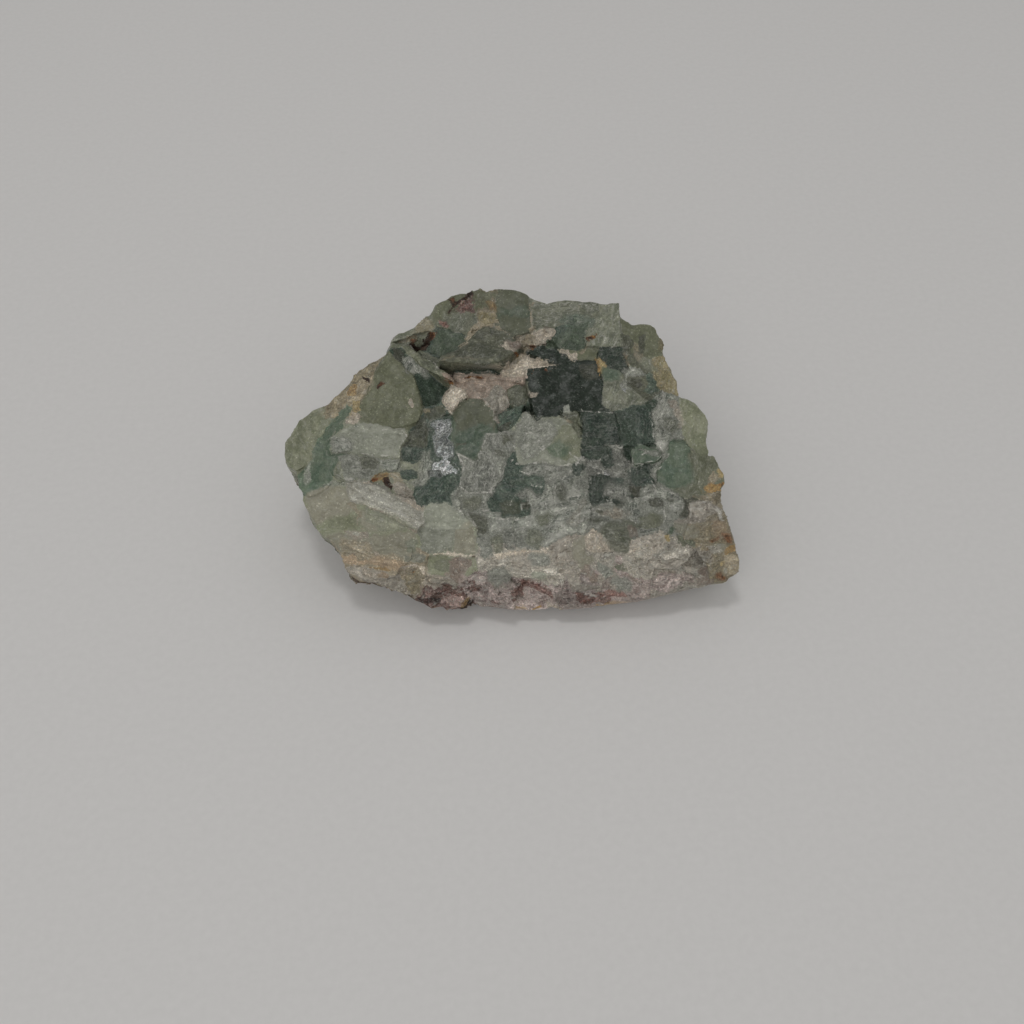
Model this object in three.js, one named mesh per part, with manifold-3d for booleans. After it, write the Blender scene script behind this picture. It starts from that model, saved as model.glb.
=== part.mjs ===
// A hand-sized fluorite specimen: one broken lump of intergrown green crystals over a cream and lilac
// sugary band, with a pale quartz pocket near the top. Millimetres, +Z up. It rests on its broken
// underside, and its crystal face leans towards the front, so that the crystals look up and forwards.
import * as THREE from "three";
import { mergeVertices } from "three/addons/utils/BufferGeometryUtils.js";
import Module from "manifold-3d";

const wasm = await Module();
wasm.setup();

// Driving dimensions
const FACE_TILT = 18; // degrees that the crystal face leans forwards from level
const FACE_CENTRE = [0.1, 2.85, 19.6]; // where u, v and w are zero on the crystal face
const FACE_GROUND = -2; // w of the rock between the crystals
const FACE_ROOT = -8; // w that the crystals reach down to inside the rock
const RIM_V = -21.4; // v of the edge where the face bends down into the band
const BAND_TILT = 53.5; // degrees that the band slopes down from level
const BAND_GROUND = -1.2; // the rock between the band's lumps lies this far under its plane
const BAND_ROOT = -5;
const FLARE = 0.16; // each crystal widens by this share from its top to its root
const SIGHT_TILT = 19.5; // degrees in front of the face's normal from which the outlines are drawn
const SIGHT_DISTANCE = 190; // how far away that view point is
const STONE_MIDDLE = [3, 2]; // x and y that the broken sides face away from
const BLOCK_SIZE = 7; // the cuboid crystals broken across on the sides and back
const BLOCK_COUNT = 20;
const BLOCK_ARC = [-25, 215]; // they lie from the right side round by the back to the left, in degrees
const BLOCK_HEIGHTS = [13, 7, 10]; // taken in turn
const BLOCK_PROUD = 1.1; // how far a block's outer face stands out of the broken side
const BLOCK_TURN = 0.3; // how far a block may be turned from the side's direction, in radians
const BLOCK_STRETCH = 0.3; // how much longer one way than the other a block may be
const CRYSTAL_MERGE = 1e-4; // corners closer than this are one
const CLEARANCE = 60; // big enough to pass right through the stone
const STONE_COLOUR = 0x6f7f6c;
const STONE_ROUGHNESS = 0.5;

const radians = THREE.MathUtils.degToRad;

// The outline of the whole stone, seen square to the crystal face: u to the right and v up its slope.
// It starts at the left lobe and runs round by the back, the right side and the band's lower edge.
const OUTLINE = [
  [-35.4, -5], [-34.9, -3.9], [-33.9, -2.4], [-32, 0], [-30.9, 1.1], [-29.4, 1.3], [-27, 3], [-25.7, 4.5],
  [-24.9, 5.9], [-23.7, 7.2], [-22.4, 7.6], [-21.3, 8.5], [-20.1, 9.5], [-19, 10.4], [-18.9, 12],
  [-18.3, 13.4], [-17.5, 14], [-14.9, 15], [-13.3, 16.1], [-12.1, 17.6], [-11.1, 18.8], [-9.9, 19.5],
  [-8.8, 20.4], [-6.4, 20.8], [-5.5, 21.4], [-3.7, 21.4], [-3, 20.9], [-0.8, 21.1], [1, 21.1], [2.6, 20.4],
  [4.2, 19.6], [5.6, 18.9], [6.8, 18.3], [9, 18.4], [12.6, 18.3], [15.2, 18], [18.5, 17.6], [18.7, 15.4],
  [20.7, 14.6], [22.8, 14.5], [24.3, 13.7], [24.8, 12], [25.5, 10.7], [25.3, 8.9], [26, 7.5], [26.8, 5.6],
  [27.3, 3.8], [27.5, 1.1], [28.8, 0.9], [30, 0], [31.2, -1.4], [31.9, -3], [31.5, -4.8], [31.1, -6],
  [31.3, -8.3], [32.1, -9.2], [32.9, -10.9], [33.3, -12.1], [33.1, -13.6], [32.4, -14.6], [32.5, -16.5],
  [32.8, -18.2], [33.6, -18.9], [33.7, -20.6], [34.2, -23.4], [35.2, -25.2], [35.1, -26.8], [33, -28],
  [30.1, -28.6], [27.7, -28.8], [25.4, -29.4], [20.4, -30.2], [16.4, -30.5], [12.7, -31.2], [9.6, -31.3],
  [7.2, -31.7], [4.3, -31.4], [0.1, -31.4], [-2.5, -30.5], [-5.8, -29.7], [-7.8, -31.1], [-9.8, -31.3],
  [-12, -31.2], [-13.8, -30.5], [-15.5, -29.6], [-18, -28.6], [-20, -27.6], [-22, -27.1], [-24.5, -26.3],
  [-25.3, -25.4], [-26, -23.7], [-26.5, -22.2], [-27.5, -20.9], [-29.3, -19.8], [-30.8, -17.4],
  [-32, -14.9], [-32.5, -13.1], [-32.8, -11.1], [-33.5, -9.6], [-34.9, -8.7], [-35.3, -6.8],
];

// The crystals of the face. Each has the w of its top at the middle, the slopes of the top along u and
// v, and the outline of the top in u and v. Neighbours share their edges.
const FACE_CRYSTALS = {
  leftLobe: {
    top: -0.9, slopes: [0.3, -0.1],
    outline: [[-35.6, -5], [-34, -2], [-30.9, 1.4], [-29.2, 1.4], [-29, -1], [-30.5, -4], [-31, -8],
      [-33.3, -9.8], [-35.2, -8.7]],
  },
  tealStrip: {
    top: -0.2, slopes: [0.2, -0.1],
    outline: [[-29, -1.4], [-26.1, -1.2], [-28, -4.5], [-28.4, -7], [-27.5, -11], [-28.5, -13],
      [-31, -14.2], [-33, -12], [-31, -8], [-30.5, -4]],
  },
  tanRim: {
    top: -0.6, slopes: [0.14, -0.15],
    outline: [[-29.3, 1.4], [-27, 3.4], [-24.9, 6.4], [-22.4, 8], [-19.4, 10.6], [-20.7, 7.5], [-22, 4],
      [-23.5, 0.5], [-24, -1.7], [-26.1, -1.2], [-29, -1.2]],
  },
  triangle: {
    top: 2.1, slopes: [0.08, 0.1],
    outline: [[-19.2, 10.3], [-17, 8], [-15.2, 6.4], [-14.1, 3], [-13.6, 0], [-14.3, -2], [-16, -2.8],
      [-18.5, -3], [-21.5, -2.2], [-24, -1.7], [-23.5, 0.5], [-22, 4], [-20.7, 7.5]],
  },
  shadedFace: {
    top: 0.4, slopes: [-0.45, 0.1],
    outline: [[-18.9, 10.9], [-17.2, 11.1], [-15.5, 9.5], [-13, 7.4], [-11, 5.7], [-8.8, 4.3],
      [-10.5, 1.5], [-13.6, 0], [-14.1, 3], [-15.2, 6.4], [-17, 8], [-19.2, 10.3]],
  },
  ridgePlate: {
    top: 1.5, slopes: [-0.25, -0.2],
    outline: [[-18.2, 12.1], [-15.4, 10.9], [-12.4, 8.6], [-9.7, 6.3], [-8.4, 4.6], [-11, 5.7],
      [-13, 7.4], [-15.5, 9.5], [-17.2, 11.1], [-18.9, 10.9]],
  },
  backLeftStrip: {
    top: -0.5, slopes: [0.25, -0.25],
    outline: [[-19.1, 11.5], [-18.3, 13.6], [-14.9, 15.3], [-12.1, 17.9], [-11.1, 19.1], [-9.7, 16.5],
      [-11.5, 14.8], [-12.8, 13.9], [-15, 13.7], [-17.2, 12.6], [-18.2, 12.1]],
  },
  purpleCrust: {
    top: 0.1, slopes: [0.15, -0.2],
    outline: [[-11.1, 19.1], [-8.8, 20.7], [-5.5, 21.7], [-4.4, 21.6], [-4.5, 18.5], [-5.2, 16.8],
      [-7.5, 17.2], [-9.7, 16.5]],
  },
  backKnob: {
    top: 0.4, slopes: [0.1, 0.05],
    outline: [[-4.4, 21.6], [-3, 21.4], [-0.9, 21.3], [-1.4, 18.5], [-1.9, 16], [-1.9, 14.1],
      [-3.6, 14], [-5, 13.8], [-5.2, 16.8], [-4.5, 18.5]],
  },
  smallTeal: {
    top: -0.5, slopes: [0.05, 0.3],
    outline: [[-12.5, 12.6], [-11.5, 14.8], [-9, 14.2], [-7, 13.6], [-6.4, 12.6], [-7, 11.3],
      [-8.6, 9.9], [-10.5, 9.6], [-12.5, 10]],
  },
  greyGreen: {
    top: 0.6, slopes: [-0.1, 0.1],
    outline: [[-11.5, 14.8], [-9.7, 16.5], [-7.5, 17.2], [-5.2, 16.8], [-4.8, 15.2], [-6.4, 12.6],
      [-7, 13.6], [-9, 14.2]],
  },
  shelf: {
    top: 2.3, slopes: [-0.03, -0.08],
    outline: [[-8.6, 9.9], [-7, 11.3], [-6.4, 12.6], [-5.5, 13.4], [-3.6, 14.1], [-1.5, 14], [0.9, 12.9],
      [2.4, 11.4], [1.6, 9.5], [-0.5, 7.9], [-4, 7.6], [-8, 7.7], [-10.9, 8.4], [-10.5, 9.6]],
  },
  pocketLedge: {
    top: -1.3, slopes: [0, -0.05],
    outline: [[-9.2, 5.4], [-8.5, 6.2], [-1, 6.1], [3.6, 5.3], [3.3, 4.4], [-0.8, 5.1], [-8, 5]],
  },
  creamLip: {
    top: -0.4, slopes: [0.1, 0.2],
    outline: [[-0.8, 6.1], [-0.5, 7.9], [1.6, 9.5], [3.7, 9], [6, 8.1], [8, 7.2], [4.5, 6.9], [3, 6],
      [3.6, 5.3]],
  },
  creamLump: {
    top: -1, slopes: [0.3, 0.2],
    outline: [[-10.4, 1.6], [-9, 4.2], [-7.4, 3.6], [-6.2, 2], [-7.8, 0.8], [-9, -0.8]],
  },
  roundTop: {
    top: 1.6, slopes: [0.08, 0.12],
    outline: [[-7.8, 0.8], [-6.5, 1.6], [-5.2, 2], [-4, 1.9], [-3, 1], [-2.3, -1], [-1.5, -4.5],
      [-3.4, -4.7], [-4, -6.5], [-4.6, -8.3], [-6, -8.7], [-7.6, -7.7], [-8.5, -6], [-8.9, -3],
      [-8.8, -0.9]],
  },
  dullSlope: {
    top: 0.1, slopes: [0.15, 0.2],
    outline: [[-13.6, 0], [-10.5, 1.5], [-9, -0.8], [-12.2, -2], [-13, -4], [-13, -9], [-14, -9.3],
      [-16.6, -9], [-17.2, -8], [-17, -6.5], [-15.4, -4.3], [-16, -2.8], [-14.3, -2]],
  },
  glinting: {
    top: 0.7, slopes: [0, 0],
    outline: [[-12.2, -2], [-9, -0.8], [-8.9, -3], [-8.5, -6], [-7.6, -7.7], [-7.1, -10], [-8, -13.3],
      [-8, -15], [-9, -16], [-13, -16.4], [-14.8, -15.5], [-14.4, -13], [-13, -11.6], [-13, -9],
      [-13, -4]],
  },
  smallDark: {
    top: -0.4, slopes: [0.25, 0.1],
    outline: [[0.1, 3.4], [1.5, 4.2], [3.2, 3], [3.9, 0.2], [2.6, 0.6], [0.5, -0.1], [-0.2, 1]],
  },
  smallDarkFront: {
    top: 0, slopes: [-0.2, 0.25],
    outline: [[-2, -1.4], [0.5, -0.1], [2.6, 0.6], [2, -1.3], [0, -4.4], [-1.5, -4.5]],
  },
  bigDark: {
    top: 1.7, slopes: [-0.05, 0.12],
    outline: [[3, 6], [4.5, 6.9], [8, 7.2], [10.4, 8], [14.6, 7.9], [15, 5], [14.9, 1], [15.9, -0.4],
      [12, -1.1], [9, -1.2], [6, -1.7], [4.7, -2.9], [4, 0], [3.2, 3]],
  },
  darkOlive: {
    top: 0.9, slopes: [-0.1, 0.3],
    outline: [[3.7, 9], [4, 10.7], [6.3, 11.2], [8.3, 10], [10.3, 9], [10.4, 8], [8, 7.2], [6, 8.1]],
  },
  backCrystal: {
    top: 0.6, slopes: [-0.1, 0.02],
    outline: [[-0.9, 21.3], [1, 21.4], [4.2, 19.8], [4.2, 16], [3.8, 13.6], [2.5, 13], [0.9, 12.9],
      [-1.5, 14], [-1.9, 16], [-1.4, 18.5]],
  },
  backRightBlock: {
    top: 0.4, slopes: [0.03, 0.1],
    outline: [[4.2, 19.8], [6.8, 18.6], [15.2, 18.3], [14.8, 14.5], [12.8, 13.7], [9, 14.6], [5, 14.2],
      [3.8, 13.6], [4.2, 16]],
  },
  backRightDark: {
    top: -0.3, slopes: [0.05, 0.3],
    outline: [[8, 14], [9, 14.6], [12.8, 13.7], [13, 12], [12.5, 10.6], [11.2, 9.5], [8.3, 10],
      [7.5, 12.5]],
  },
  backRightPale: {
    top: 0.8, slopes: [0.12, -0.1],
    outline: [[15.2, 18.3], [18.8, 17.9], [18.6, 13], [19.2, 10.4], [16.5, 10.6], [12.5, 10.6],
      [13.4, 13.6], [14.8, 14.5]],
  },
  creamSaddle: {
    top: -0.8, slopes: [0, 0.2],
    outline: [[3.8, 13.6], [5, 14.2], [8, 14], [7.5, 12.5], [6.3, 11.2], [4, 10.7], [2.4, 11.4],
      [0.9, 12.9], [2.5, 13]],
  },
  creamWedge: {
    top: -0.7, slopes: [0, 0],
    outline: [[8.3, 10], [11.2, 9.5], [12.5, 10.6], [14.9, 9.9], [14.6, 7.9], [10.4, 8], [10.3, 9]],
  },
  backRightEdge: {
    top: -0.4, slopes: [-0.14, -0.1],
    outline: [[18.7, 15.6], [22.8, 14.8], [24.6, 14], [25.8, 10.7], [25.4, 8.9], [23, 7.6], [21, 9],
      [19.6, 8.6], [19.2, 10.4], [18.6, 13]],
  },
  goldenEdge: {
    top: -0.6, slopes: [-0.2, -0.05],
    outline: [[25.4, 8.9], [27.1, 5.6], [27.6, 3.8], [27.6, 1.1], [24.6, 2.6], [23.4, 5], [23, 7.6]],
  },
  tealGrey: {
    top: 0.2, slopes: [-0.1, 0.25],
    outline: [[14.9, 9.9], [16.5, 10.6], [19.2, 10.4], [19.6, 8.6], [19.8, 6], [18.7, 5.2], [16.4, 7],
      [14.6, 7.9]],
  },
  palePlate: {
    top: 1.1, slopes: [0.15, -0.12],
    outline: [[15, 5], [14.6, 7.9], [16.4, 7], [18.7, 5.2], [19.2, 3.6], [22.6, 0.4], [20, 0],
      [17, -0.8], [15.9, -0.4], [14.9, 1]],
  },
  duskPlate: {
    top: -0.1, slopes: [-0.15, 0.15],
    outline: [[19.2, 3.6], [18.7, 5.2], [19.8, 6], [19.6, 8.6], [21, 9], [23, 7.6], [23.4, 5],
      [24.6, 2.6], [22.6, 0.4]],
  },
  rightLobe: {
    top: -0.6, slopes: [-0.35, -0.05],
    outline: [[27.4, 1.3], [28.8, 1.2], [31.5, -1.4], [32.2, -3], [31.4, -6], [31.5, -8.5], [30, -9],
      [28.2, -7.3], [27.5, -4.5], [27.3, -1]],
  },
  rightFrosted: {
    top: 0.1, slopes: [-0.12, 0.1],
    outline: [[22.2, -1.4], [22.6, 0.4], [24.6, 2.6], [27.4, 1.3], [27.3, -1], [27.5, -4.5],
      [27.3, -6.2], [25.5, -6], [22.9, -6.2], [22.8, -4]],
  },
  darkBlockLeft: {
    top: 0.4, slopes: [-0.12, 0.2],
    outline: [[12, -1.1], [15.9, -0.4], [17.2, -0.8], [17.6, -3.5], [17.8, -6.9], [15.2, -7],
      [11.4, -7], [11.7, -4], [10.9, -2.5]],
  },
  darkBlockRight: {
    top: 1.1, slopes: [-0.1, 0.15],
    outline: [[17.2, -0.8], [20, 0], [22.6, 0.3], [22.8, -4], [22.9, -6.2], [20.8, -6.9],
      [17.8, -6.9], [17.6, -3.5]],
  },
  darkStep: {
    top: -0.3, slopes: [0, 0.2],
    outline: [[11.4, -7], [15.2, -7], [16, -9.2], [14, -9.4], [11.6, -8.9]],
  },
  paleFracture: {
    top: -0.1, slopes: [0.1, 0.25],
    outline: [[15.2, -7], [17.8, -6.9], [17.6, -8.5], [18.8, -10.5], [18, -12.5], [12.2, -12],
      [11.5, -10.5], [11.6, -8.9], [16, -9.2]],
  },
  darkGroove: {
    top: -1, slopes: [0, 0],
    outline: [[17.8, -6.9], [20.8, -6.9], [19.3, -7.5], [19.4, -9.9], [18.8, -10.5], [17.6, -8.5]],
  },
  smallGreen: {
    top: 0.6, slopes: [0, 0.15],
    outline: [[19.3, -7.5], [20.8, -6.9], [23, -7.6], [23.8, -9], [22.5, -10], [19.4, -9.9]],
  },
  frostedGap: {
    top: -0.5, slopes: [0, 0.1],
    outline: [[22.5, -10], [23.8, -9], [23, -7.6], [22.9, -6.2], [25.5, -6], [25, -9], [23.5, -10.5],
      [23, -13], [22, -12.2], [18.8, -10.5], [19.4, -9.9]],
  },
  rightTeal: {
    top: 1.4, slopes: [0.12, 0.15],
    outline: [[25.5, -6], [27.3, -6.2], [28.6, -7.6], [28.6, -12], [27.4, -15.9], [26.5, -15.8],
      [24.5, -14], [23, -13], [23.5, -10.5], [25, -9]],
  },
  rightOlive: {
    top: 0.5, slopes: [-0.4, 0.08],
    outline: [[28.6, -7.6], [30, -9], [32.1, -9], [33.6, -12.1], [32.6, -14.4], [30, -15.3],
      [27.4, -15.9], [28.6, -12]],
  },
  paleLeft: {
    top: 1.5, slopes: [0.1, 0.18],
    outline: [[0, -4.4], [2, -1.3], [3, -0.7], [4.7, -2.9], [5.6, -5], [7.2, -7], [8.2, -9.9],
      [4, -9.8], [1.5, -9.2], [0.8, -6.2]],
  },
  paleRight: {
    top: 1.5, slopes: [-0.28, 0.03],
    outline: [[4.7, -2.9], [6, -1.7], [8, -1.5], [9.8, -2.8], [10.8, -5], [11.5, -6.5], [11.5, -8.7],
      [10, -9.8], [8.2, -9.9], [7.2, -7], [5.6, -5]],
  },
  darkCleft: {
    top: -0.8, slopes: [0, 0],
    outline: [[8, -1.5], [9, -1.2], [12, -1.1], [10.9, -2.5], [11.7, -4], [11.5, -6.5], [10.8, -5],
      [9.8, -2.8]],
  },
  frostedPlate: {
    top: 1, slopes: [-0.08, 0.12],
    outline: [[-3.4, -4.7], [-1.5, -4.5], [0, -4.4], [0.8, -6.2], [-0.8, -10.2], [-1.7, -13.3],
      [-3, -14.5], [-5.5, -14.4], [-8, -13.3], [-7.1, -10], [-7.6, -7.7], [-6, -8.7], [-4.6, -8.3],
      [-4, -6.5]],
  },
  darkTeal: {
    top: 0, slopes: [0.2, 0.15],
    outline: [[-0.8, -10.2], [0.8, -6.2], [1.5, -9.2], [4, -9.8], [5.2, -10.4], [5.5, -12.5],
      [3.2, -14], [2.8, -17.6], [0.5, -18.6], [-1, -18.6], [-3, -14.5], [-1.7, -13.3]],
  },
  streaked: {
    top: 0.4, slopes: [-0.06, 0.12],
    outline: [[5.2, -10.4], [8.2, -9.9], [10, -9.8], [11.5, -8.7], [11.5, -10.5], [12.2, -12],
      [12, -15], [12.4, -16.3], [7, -17], [2.8, -17.6], [3.2, -14], [5.5, -12.5]],
  },
  darkSteps: {
    top: -0.7, slopes: [0, 0.15],
    outline: [[12.2, -12], [18, -12.5], [18.8, -10.5], [22, -12.2], [22.6, -14.5], [20, -15.8],
      [16.5, -15.2], [12.4, -16.3], [12, -15]],
  },
  frontStreaked: {
    top: -0.1, slopes: [0.04, 0.3],
    outline: [[2.8, -17.6], [7, -17], [12.4, -16.3], [12.2, -19], [11, -22], [8, -24.2], [1, -23.6],
      [0.5, -18.6]],
  },
  mottledDark: {
    top: -1, slopes: [0, 0.24],
    outline: [[-8, -15], [-8, -13.3], [-5.5, -14.4], [-3, -14.5], [-1, -18.6], [0.5, -18.6],
      [1, -23.6], [-4.8, -23.8], [-4.6, -22.4], [-5.5, -20.2], [-7.8, -17]],
  },
  frostedBar: {
    top: 1, slopes: [-0.08, 0.05],
    outline: [[-26.1, -1.2], [-24, -1.7], [-21.5, -2.2], [-18.5, -3], [-16, -2.8], [-15.4, -4.3],
      [-17, -6.5], [-17.2, -8], [-25, -6.9], [-28.4, -7], [-28, -4.5]],
  },
  greenBar: {
    top: 0, slopes: [0.05, 0.12],
    outline: [[-28.4, -7], [-25, -6.9], [-17.2, -8], [-17.4, -10], [-20, -10.5], [-21.5, -12],
      [-25.3, -12], [-27.5, -11]],
  },
  brokenGap: {
    top: -0.8, slopes: [0.05, 0.1],
    outline: [[-17.2, -8], [-16.6, -9], [-13, -9], [-13, -11.6], [-14.4, -13], [-14.8, -15.5],
      [-18, -14], [-21.5, -12], [-20, -10.5], [-17.4, -10]],
  },
  creamBar: {
    top: 0.9, slopes: [-0.05, -0.12],
    outline: [[-25.3, -12], [-21.5, -12], [-18, -14], [-14.8, -15.5], [-13, -16.4], [-13.2, -19],
      [-14.5, -20], [-20, -16.7], [-24.5, -15]],
  },
  leftOlive: {
    top: -0.5, slopes: [0.2, 0.2],
    outline: [[-31, -14.2], [-28.5, -13], [-27.5, -11], [-25.3, -12], [-24.5, -15], [-22, -16.5],
      [-22.7, -18], [-25, -20.4], [-28, -20.9], [-30.9, -18.2], [-32.2, -15]],
  },
  frontOlive: {
    top: -0.4, slopes: [0.04, 0.3],
    outline: [[-24.5, -15], [-20, -16.7], [-14.5, -20], [-13.5, -22], [-13.8, -23.4], [-22, -23.6],
      [-25, -20.4], [-22.7, -18], [-22, -16.5]],
  },
  trapezoid: {
    top: -0.3, slopes: [0.02, 0.34],
    outline: [[-13, -16.4], [-9, -16], [-8, -15], [-7.8, -17], [-5.5, -20.2], [-4.6, -22.4],
      [-5.6, -24.6], [-12.4, -24.2], [-13.5, -22], [-13.2, -19]],
  },
  mottledGrey: {
    top: -0.6, slopes: [0.01, 0.24],
    outline: [[12.4, -16.3], [16.5, -15.2], [20, -15.8], [22.6, -14.5], [23, -13], [24.5, -14],
      [26.5, -15.8], [27.6, -16.8], [27.5, -19], [26, -23], [18, -24.4], [11, -22], [12.2, -19]],
  },
  cornerCrystal: {
    top: 0.1, slopes: [-0.2, 0.22],
    outline: [[27.6, -16.8], [27.4, -15.9], [30, -15.3], [32.6, -14.4], [33, -17], [34, -19],
      [34, -23], [26, -23], [27.5, -19]],
  },
};

// The lumps of the sugary band, with the same three values. The second coordinate runs up the band's
// slope from the rim, so it is negative below the rim.
const BAND_LUMPS = {
  leftBeige: {
    top: 0.3, slopes: [0.12, -0.12],
    outline: [[-26.6, -1], [-22, -1.2], [-15.2, -1.6], [-15.6, -3], [-18, -6], [-22, -7.2], [-25, -6]],
  },
  leftStreak: {
    top: -0.2, slopes: [0.1, 0],
    outline: [[-15.2, -1.6], [-12.9, -1.8], [-13, -7.5], [-14.6, -9.6], [-18.4, -9.4], [-22, -7.2],
      [-18, -6], [-15.6, -3]],
  },
  oliveBrown: {
    top: -0.5, slopes: [0.05, -0.14],
    outline: [[-13, -1.8], [-4.8, -1.8], [-5.4, -3.4], [-5, -6.2], [-6.6, -8], [-13, -7.5]],
  },
  pinkLump: {
    top: 0.7, slopes: [0, 0.15],
    outline: [[-14.6, -9.6], [-13, -7.5], [-6.6, -8], [-6, -10.2], [-7.8, -12.2], [-12, -12.4],
      [-15.5, -10.6]],
  },
  whiteLeft: {
    top: 0.3, slopes: [0.08, -0.1],
    outline: [[-4.8, -1.8], [1, -2.2], [2.2, -3.8], [-1, -6.4], [-5, -6.2], [-5.4, -3.4]],
  },
  whiteMiddle: {
    top: 0.7, slopes: [0.06, -0.2],
    outline: [[1, -2.2], [7.6, -2.8], [8.6, -3], [7, -6.5], [2, -6.8], [-1, -6.4], [2.2, -3.8]],
  },
  creamRight: {
    top: 0.4, slopes: [-0.12, -0.16],
    outline: [[7.6, -2.8], [11, -0.6], [13.2, -1], [14.2, -3.2], [12, -6.2], [7, -6.5], [8.6, -3]],
  },
  lilacLeft: {
    top: 0.5, slopes: [0.04, -0.12],
    outline: [[-5, -6.2], [-1, -6.4], [1, -8], [0.4, -12.6], [-2.5, -11.4], [-6, -10.2], [-6.6, -8]],
  },
  lilacMiddle: {
    top: -0.2, slopes: [0.1, 0.1],
    outline: [[-1, -6.4], [2, -6.8], [7, -6.5], [8, -9], [7.2, -12.9], [0.4, -12.6], [1, -8]],
  },
  lilacRight: {
    top: 0.6, slopes: [-0.06, 0.06],
    outline: [[7, -6.5], [12, -6.2], [14.6, -8], [13.4, -12.1], [7.2, -12.9], [8, -9]],
  },
  greyStep: {
    top: -0.2, slopes: [0.05, -0.1],
    outline: [[13.2, -1], [18, -2.2], [20.2, -1.6], [20.6, -4], [14.2, -3.8]],
  },
  greyLilac: {
    top: 0.7, slopes: [0.05, 0.02],
    outline: [[14.2, -3.8], [20.6, -4], [22, -6], [20.6, -11.1], [13.4, -12.1], [14.6, -8],
      [12, -6.2]],
  },
  greyTop: {
    top: 0.3, slopes: [-0.05, -0.16],
    outline: [[20.2, -1.6], [26.6, -1.2], [28.6, -3], [26, -6], [22, -6], [20.6, -4]],
  },
  greyFoot: {
    top: 0, slopes: [-0.08, -0.06],
    outline: [[22, -6], [26, -6], [30, -5], [31, -9], [27.7, -9.6], [20.6, -11.1]],
  },
  stainedEnd: {
    top: 0.1, slopes: [-0.12, 0],
    outline: [[26.6, -1.2], [34, 1.6], [34.6, -2.7], [35.6, -4.8], [35.4, -7], [31, -9], [30, -5],
      [28.6, -3]],
  },
};

// The stone's sides and underside are broken planes. Each faces a compass direction in degrees (0 is
// +X, 90 is the back), leans in by some degrees as it goes down, and starts at a drop below the rim's
// furthest point in that direction.
const FRACTURES = [
  { facing: 92, lean: 7, drop: 4 },
  { facing: 118, lean: 16, drop: 6 },
  { facing: 62, lean: 12, drop: 5 },
  { facing: 142, lean: 9, drop: 3 },
  { facing: 28, lean: 10, drop: 3 },
  { facing: 5, lean: 18, drop: 1.5 },
  { facing: 165, lean: 22, drop: 5 },
  { facing: 190, lean: 38, drop: 5.5 },
  { facing: 105, lean: 33, drop: 15 },
  { facing: 72, lean: 24, drop: 13 },
  { facing: 150, lean: 42, drop: 10 },
  { facing: 40, lean: 36, drop: 11 },
  { facing: 340, lean: 30, drop: 2 },
  { facing: 210, lean: 50, drop: 5 },
  { facing: 232, lean: 58, drop: 0.8 },
  { facing: 256, lean: 66, drop: 0.3 },
  { facing: 274, lean: 70, drop: 0.2 },
  { facing: 296, lean: 62, drop: 2.2 },
];

// Small pits between the crystals: u, v and w of the middle, and the radius
const PITS = [[-14.6, 12.2, -2, 2], [-19, -12.6, -0.9, 1.1], [-22.6, 5.2, -1, 0.6]];

// Solids from closed three.js meshes
function solidOf(geometry) {
  geometry.deleteAttribute("normal");
  geometry.deleteAttribute("uv");
  const merged = mergeVertices(geometry, CRYSTAL_MERGE);
  return new wasm.Manifold(new wasm.Mesh({
    numProp: 3,
    vertProperties: new Float32Array(merged.attributes.position.array),
    triVerts: new Uint32Array(merged.index.array),
  }));
}

function geometryOf(solid) {
  const mesh = solid.getMesh();
  const geometry = new THREE.BufferGeometry();
  geometry.setAttribute("position", new THREE.BufferAttribute(new Float32Array(mesh.vertProperties), 3));
  geometry.setIndex(new THREE.BufferAttribute(new Uint32Array(mesh.triVerts), 1));
  geometry.computeVertexNormals();
  return geometry;
}

// Frames: the face and the band are tilted planes that meet along the rim
function tiltedFrame(tilt, centre) {
  const turn = new THREE.Matrix4().makeRotationX(radians(tilt));
  return turn.setPosition(...centre);
}

const faceFrame = tiltedFrame(FACE_TILT, FACE_CENTRE);
const rimCentre = new THREE.Vector3(0, RIM_V, 0).applyMatrix4(faceFrame);
const bandFrame = tiltedFrame(BAND_TILT, rimCentre.toArray());

// A half space is a big box whose top lies at a height over a frame's plane
function everythingUnder(frame, height) {
  const block = new THREE.BoxGeometry(4 * CLEARANCE, 4 * CLEARANCE, 2 * CLEARANCE);
  block.translate(0, 0, height - CLEARANCE);
  block.applyMatrix4(frame);
  return solidOf(block);
}

function middleOf(outline) {
  const sum = outline.reduce((total, [u, v]) => [total[0] + u, total[1] + v], [0, 0]);
  return [sum[0] / outline.length, sum[1] / outline.length];
}

// An outline is drawn as it is seen from in front. A corner that stands above the plane is moved towards
// that view point by its height, so that it is still seen on the drawn line.
function underSight([u, v], height, sightTilt) {
  const forward = Math.tan(radians(sightTilt)) * height;
  const inward = (u / SIGHT_DISTANCE) * height;
  return [u - inward, v - forward];
}

// One crystal: a prism that flares towards its root, cut off by a sloping top
function crystalSolid({ top, slopes, outline }, root, frame, sightTilt) {
  const middle = middleOf(outline);
  const shape = new THREE.Shape(outline.map(([u, v]) => new THREE.Vector2(u, v)));
  const prism = new THREE.ExtrudeGeometry(shape, { depth: 1, bevelEnabled: false });
  const corners = prism.attributes.position;
  for (let i = 0; i < corners.count; i += 1) {
    const u = corners.getX(i);
    const v = corners.getY(i);
    if (corners.getZ(i) > 0.5) {
      const height = top + slopes[0] * (u - middle[0]) + slopes[1] * (v - middle[1]);
      corners.setXYZ(i, ...underSight([u, v], height, sightTilt), height);
    } else {
      const foot = [u + FLARE * (u - middle[0]), v + FLARE * (v - middle[1])];
      corners.setXYZ(i, ...underSight(foot, root, 0), root);
    }
  }
  prism.applyMatrix4(frame);
  return solidOf(prism);
}

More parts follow.
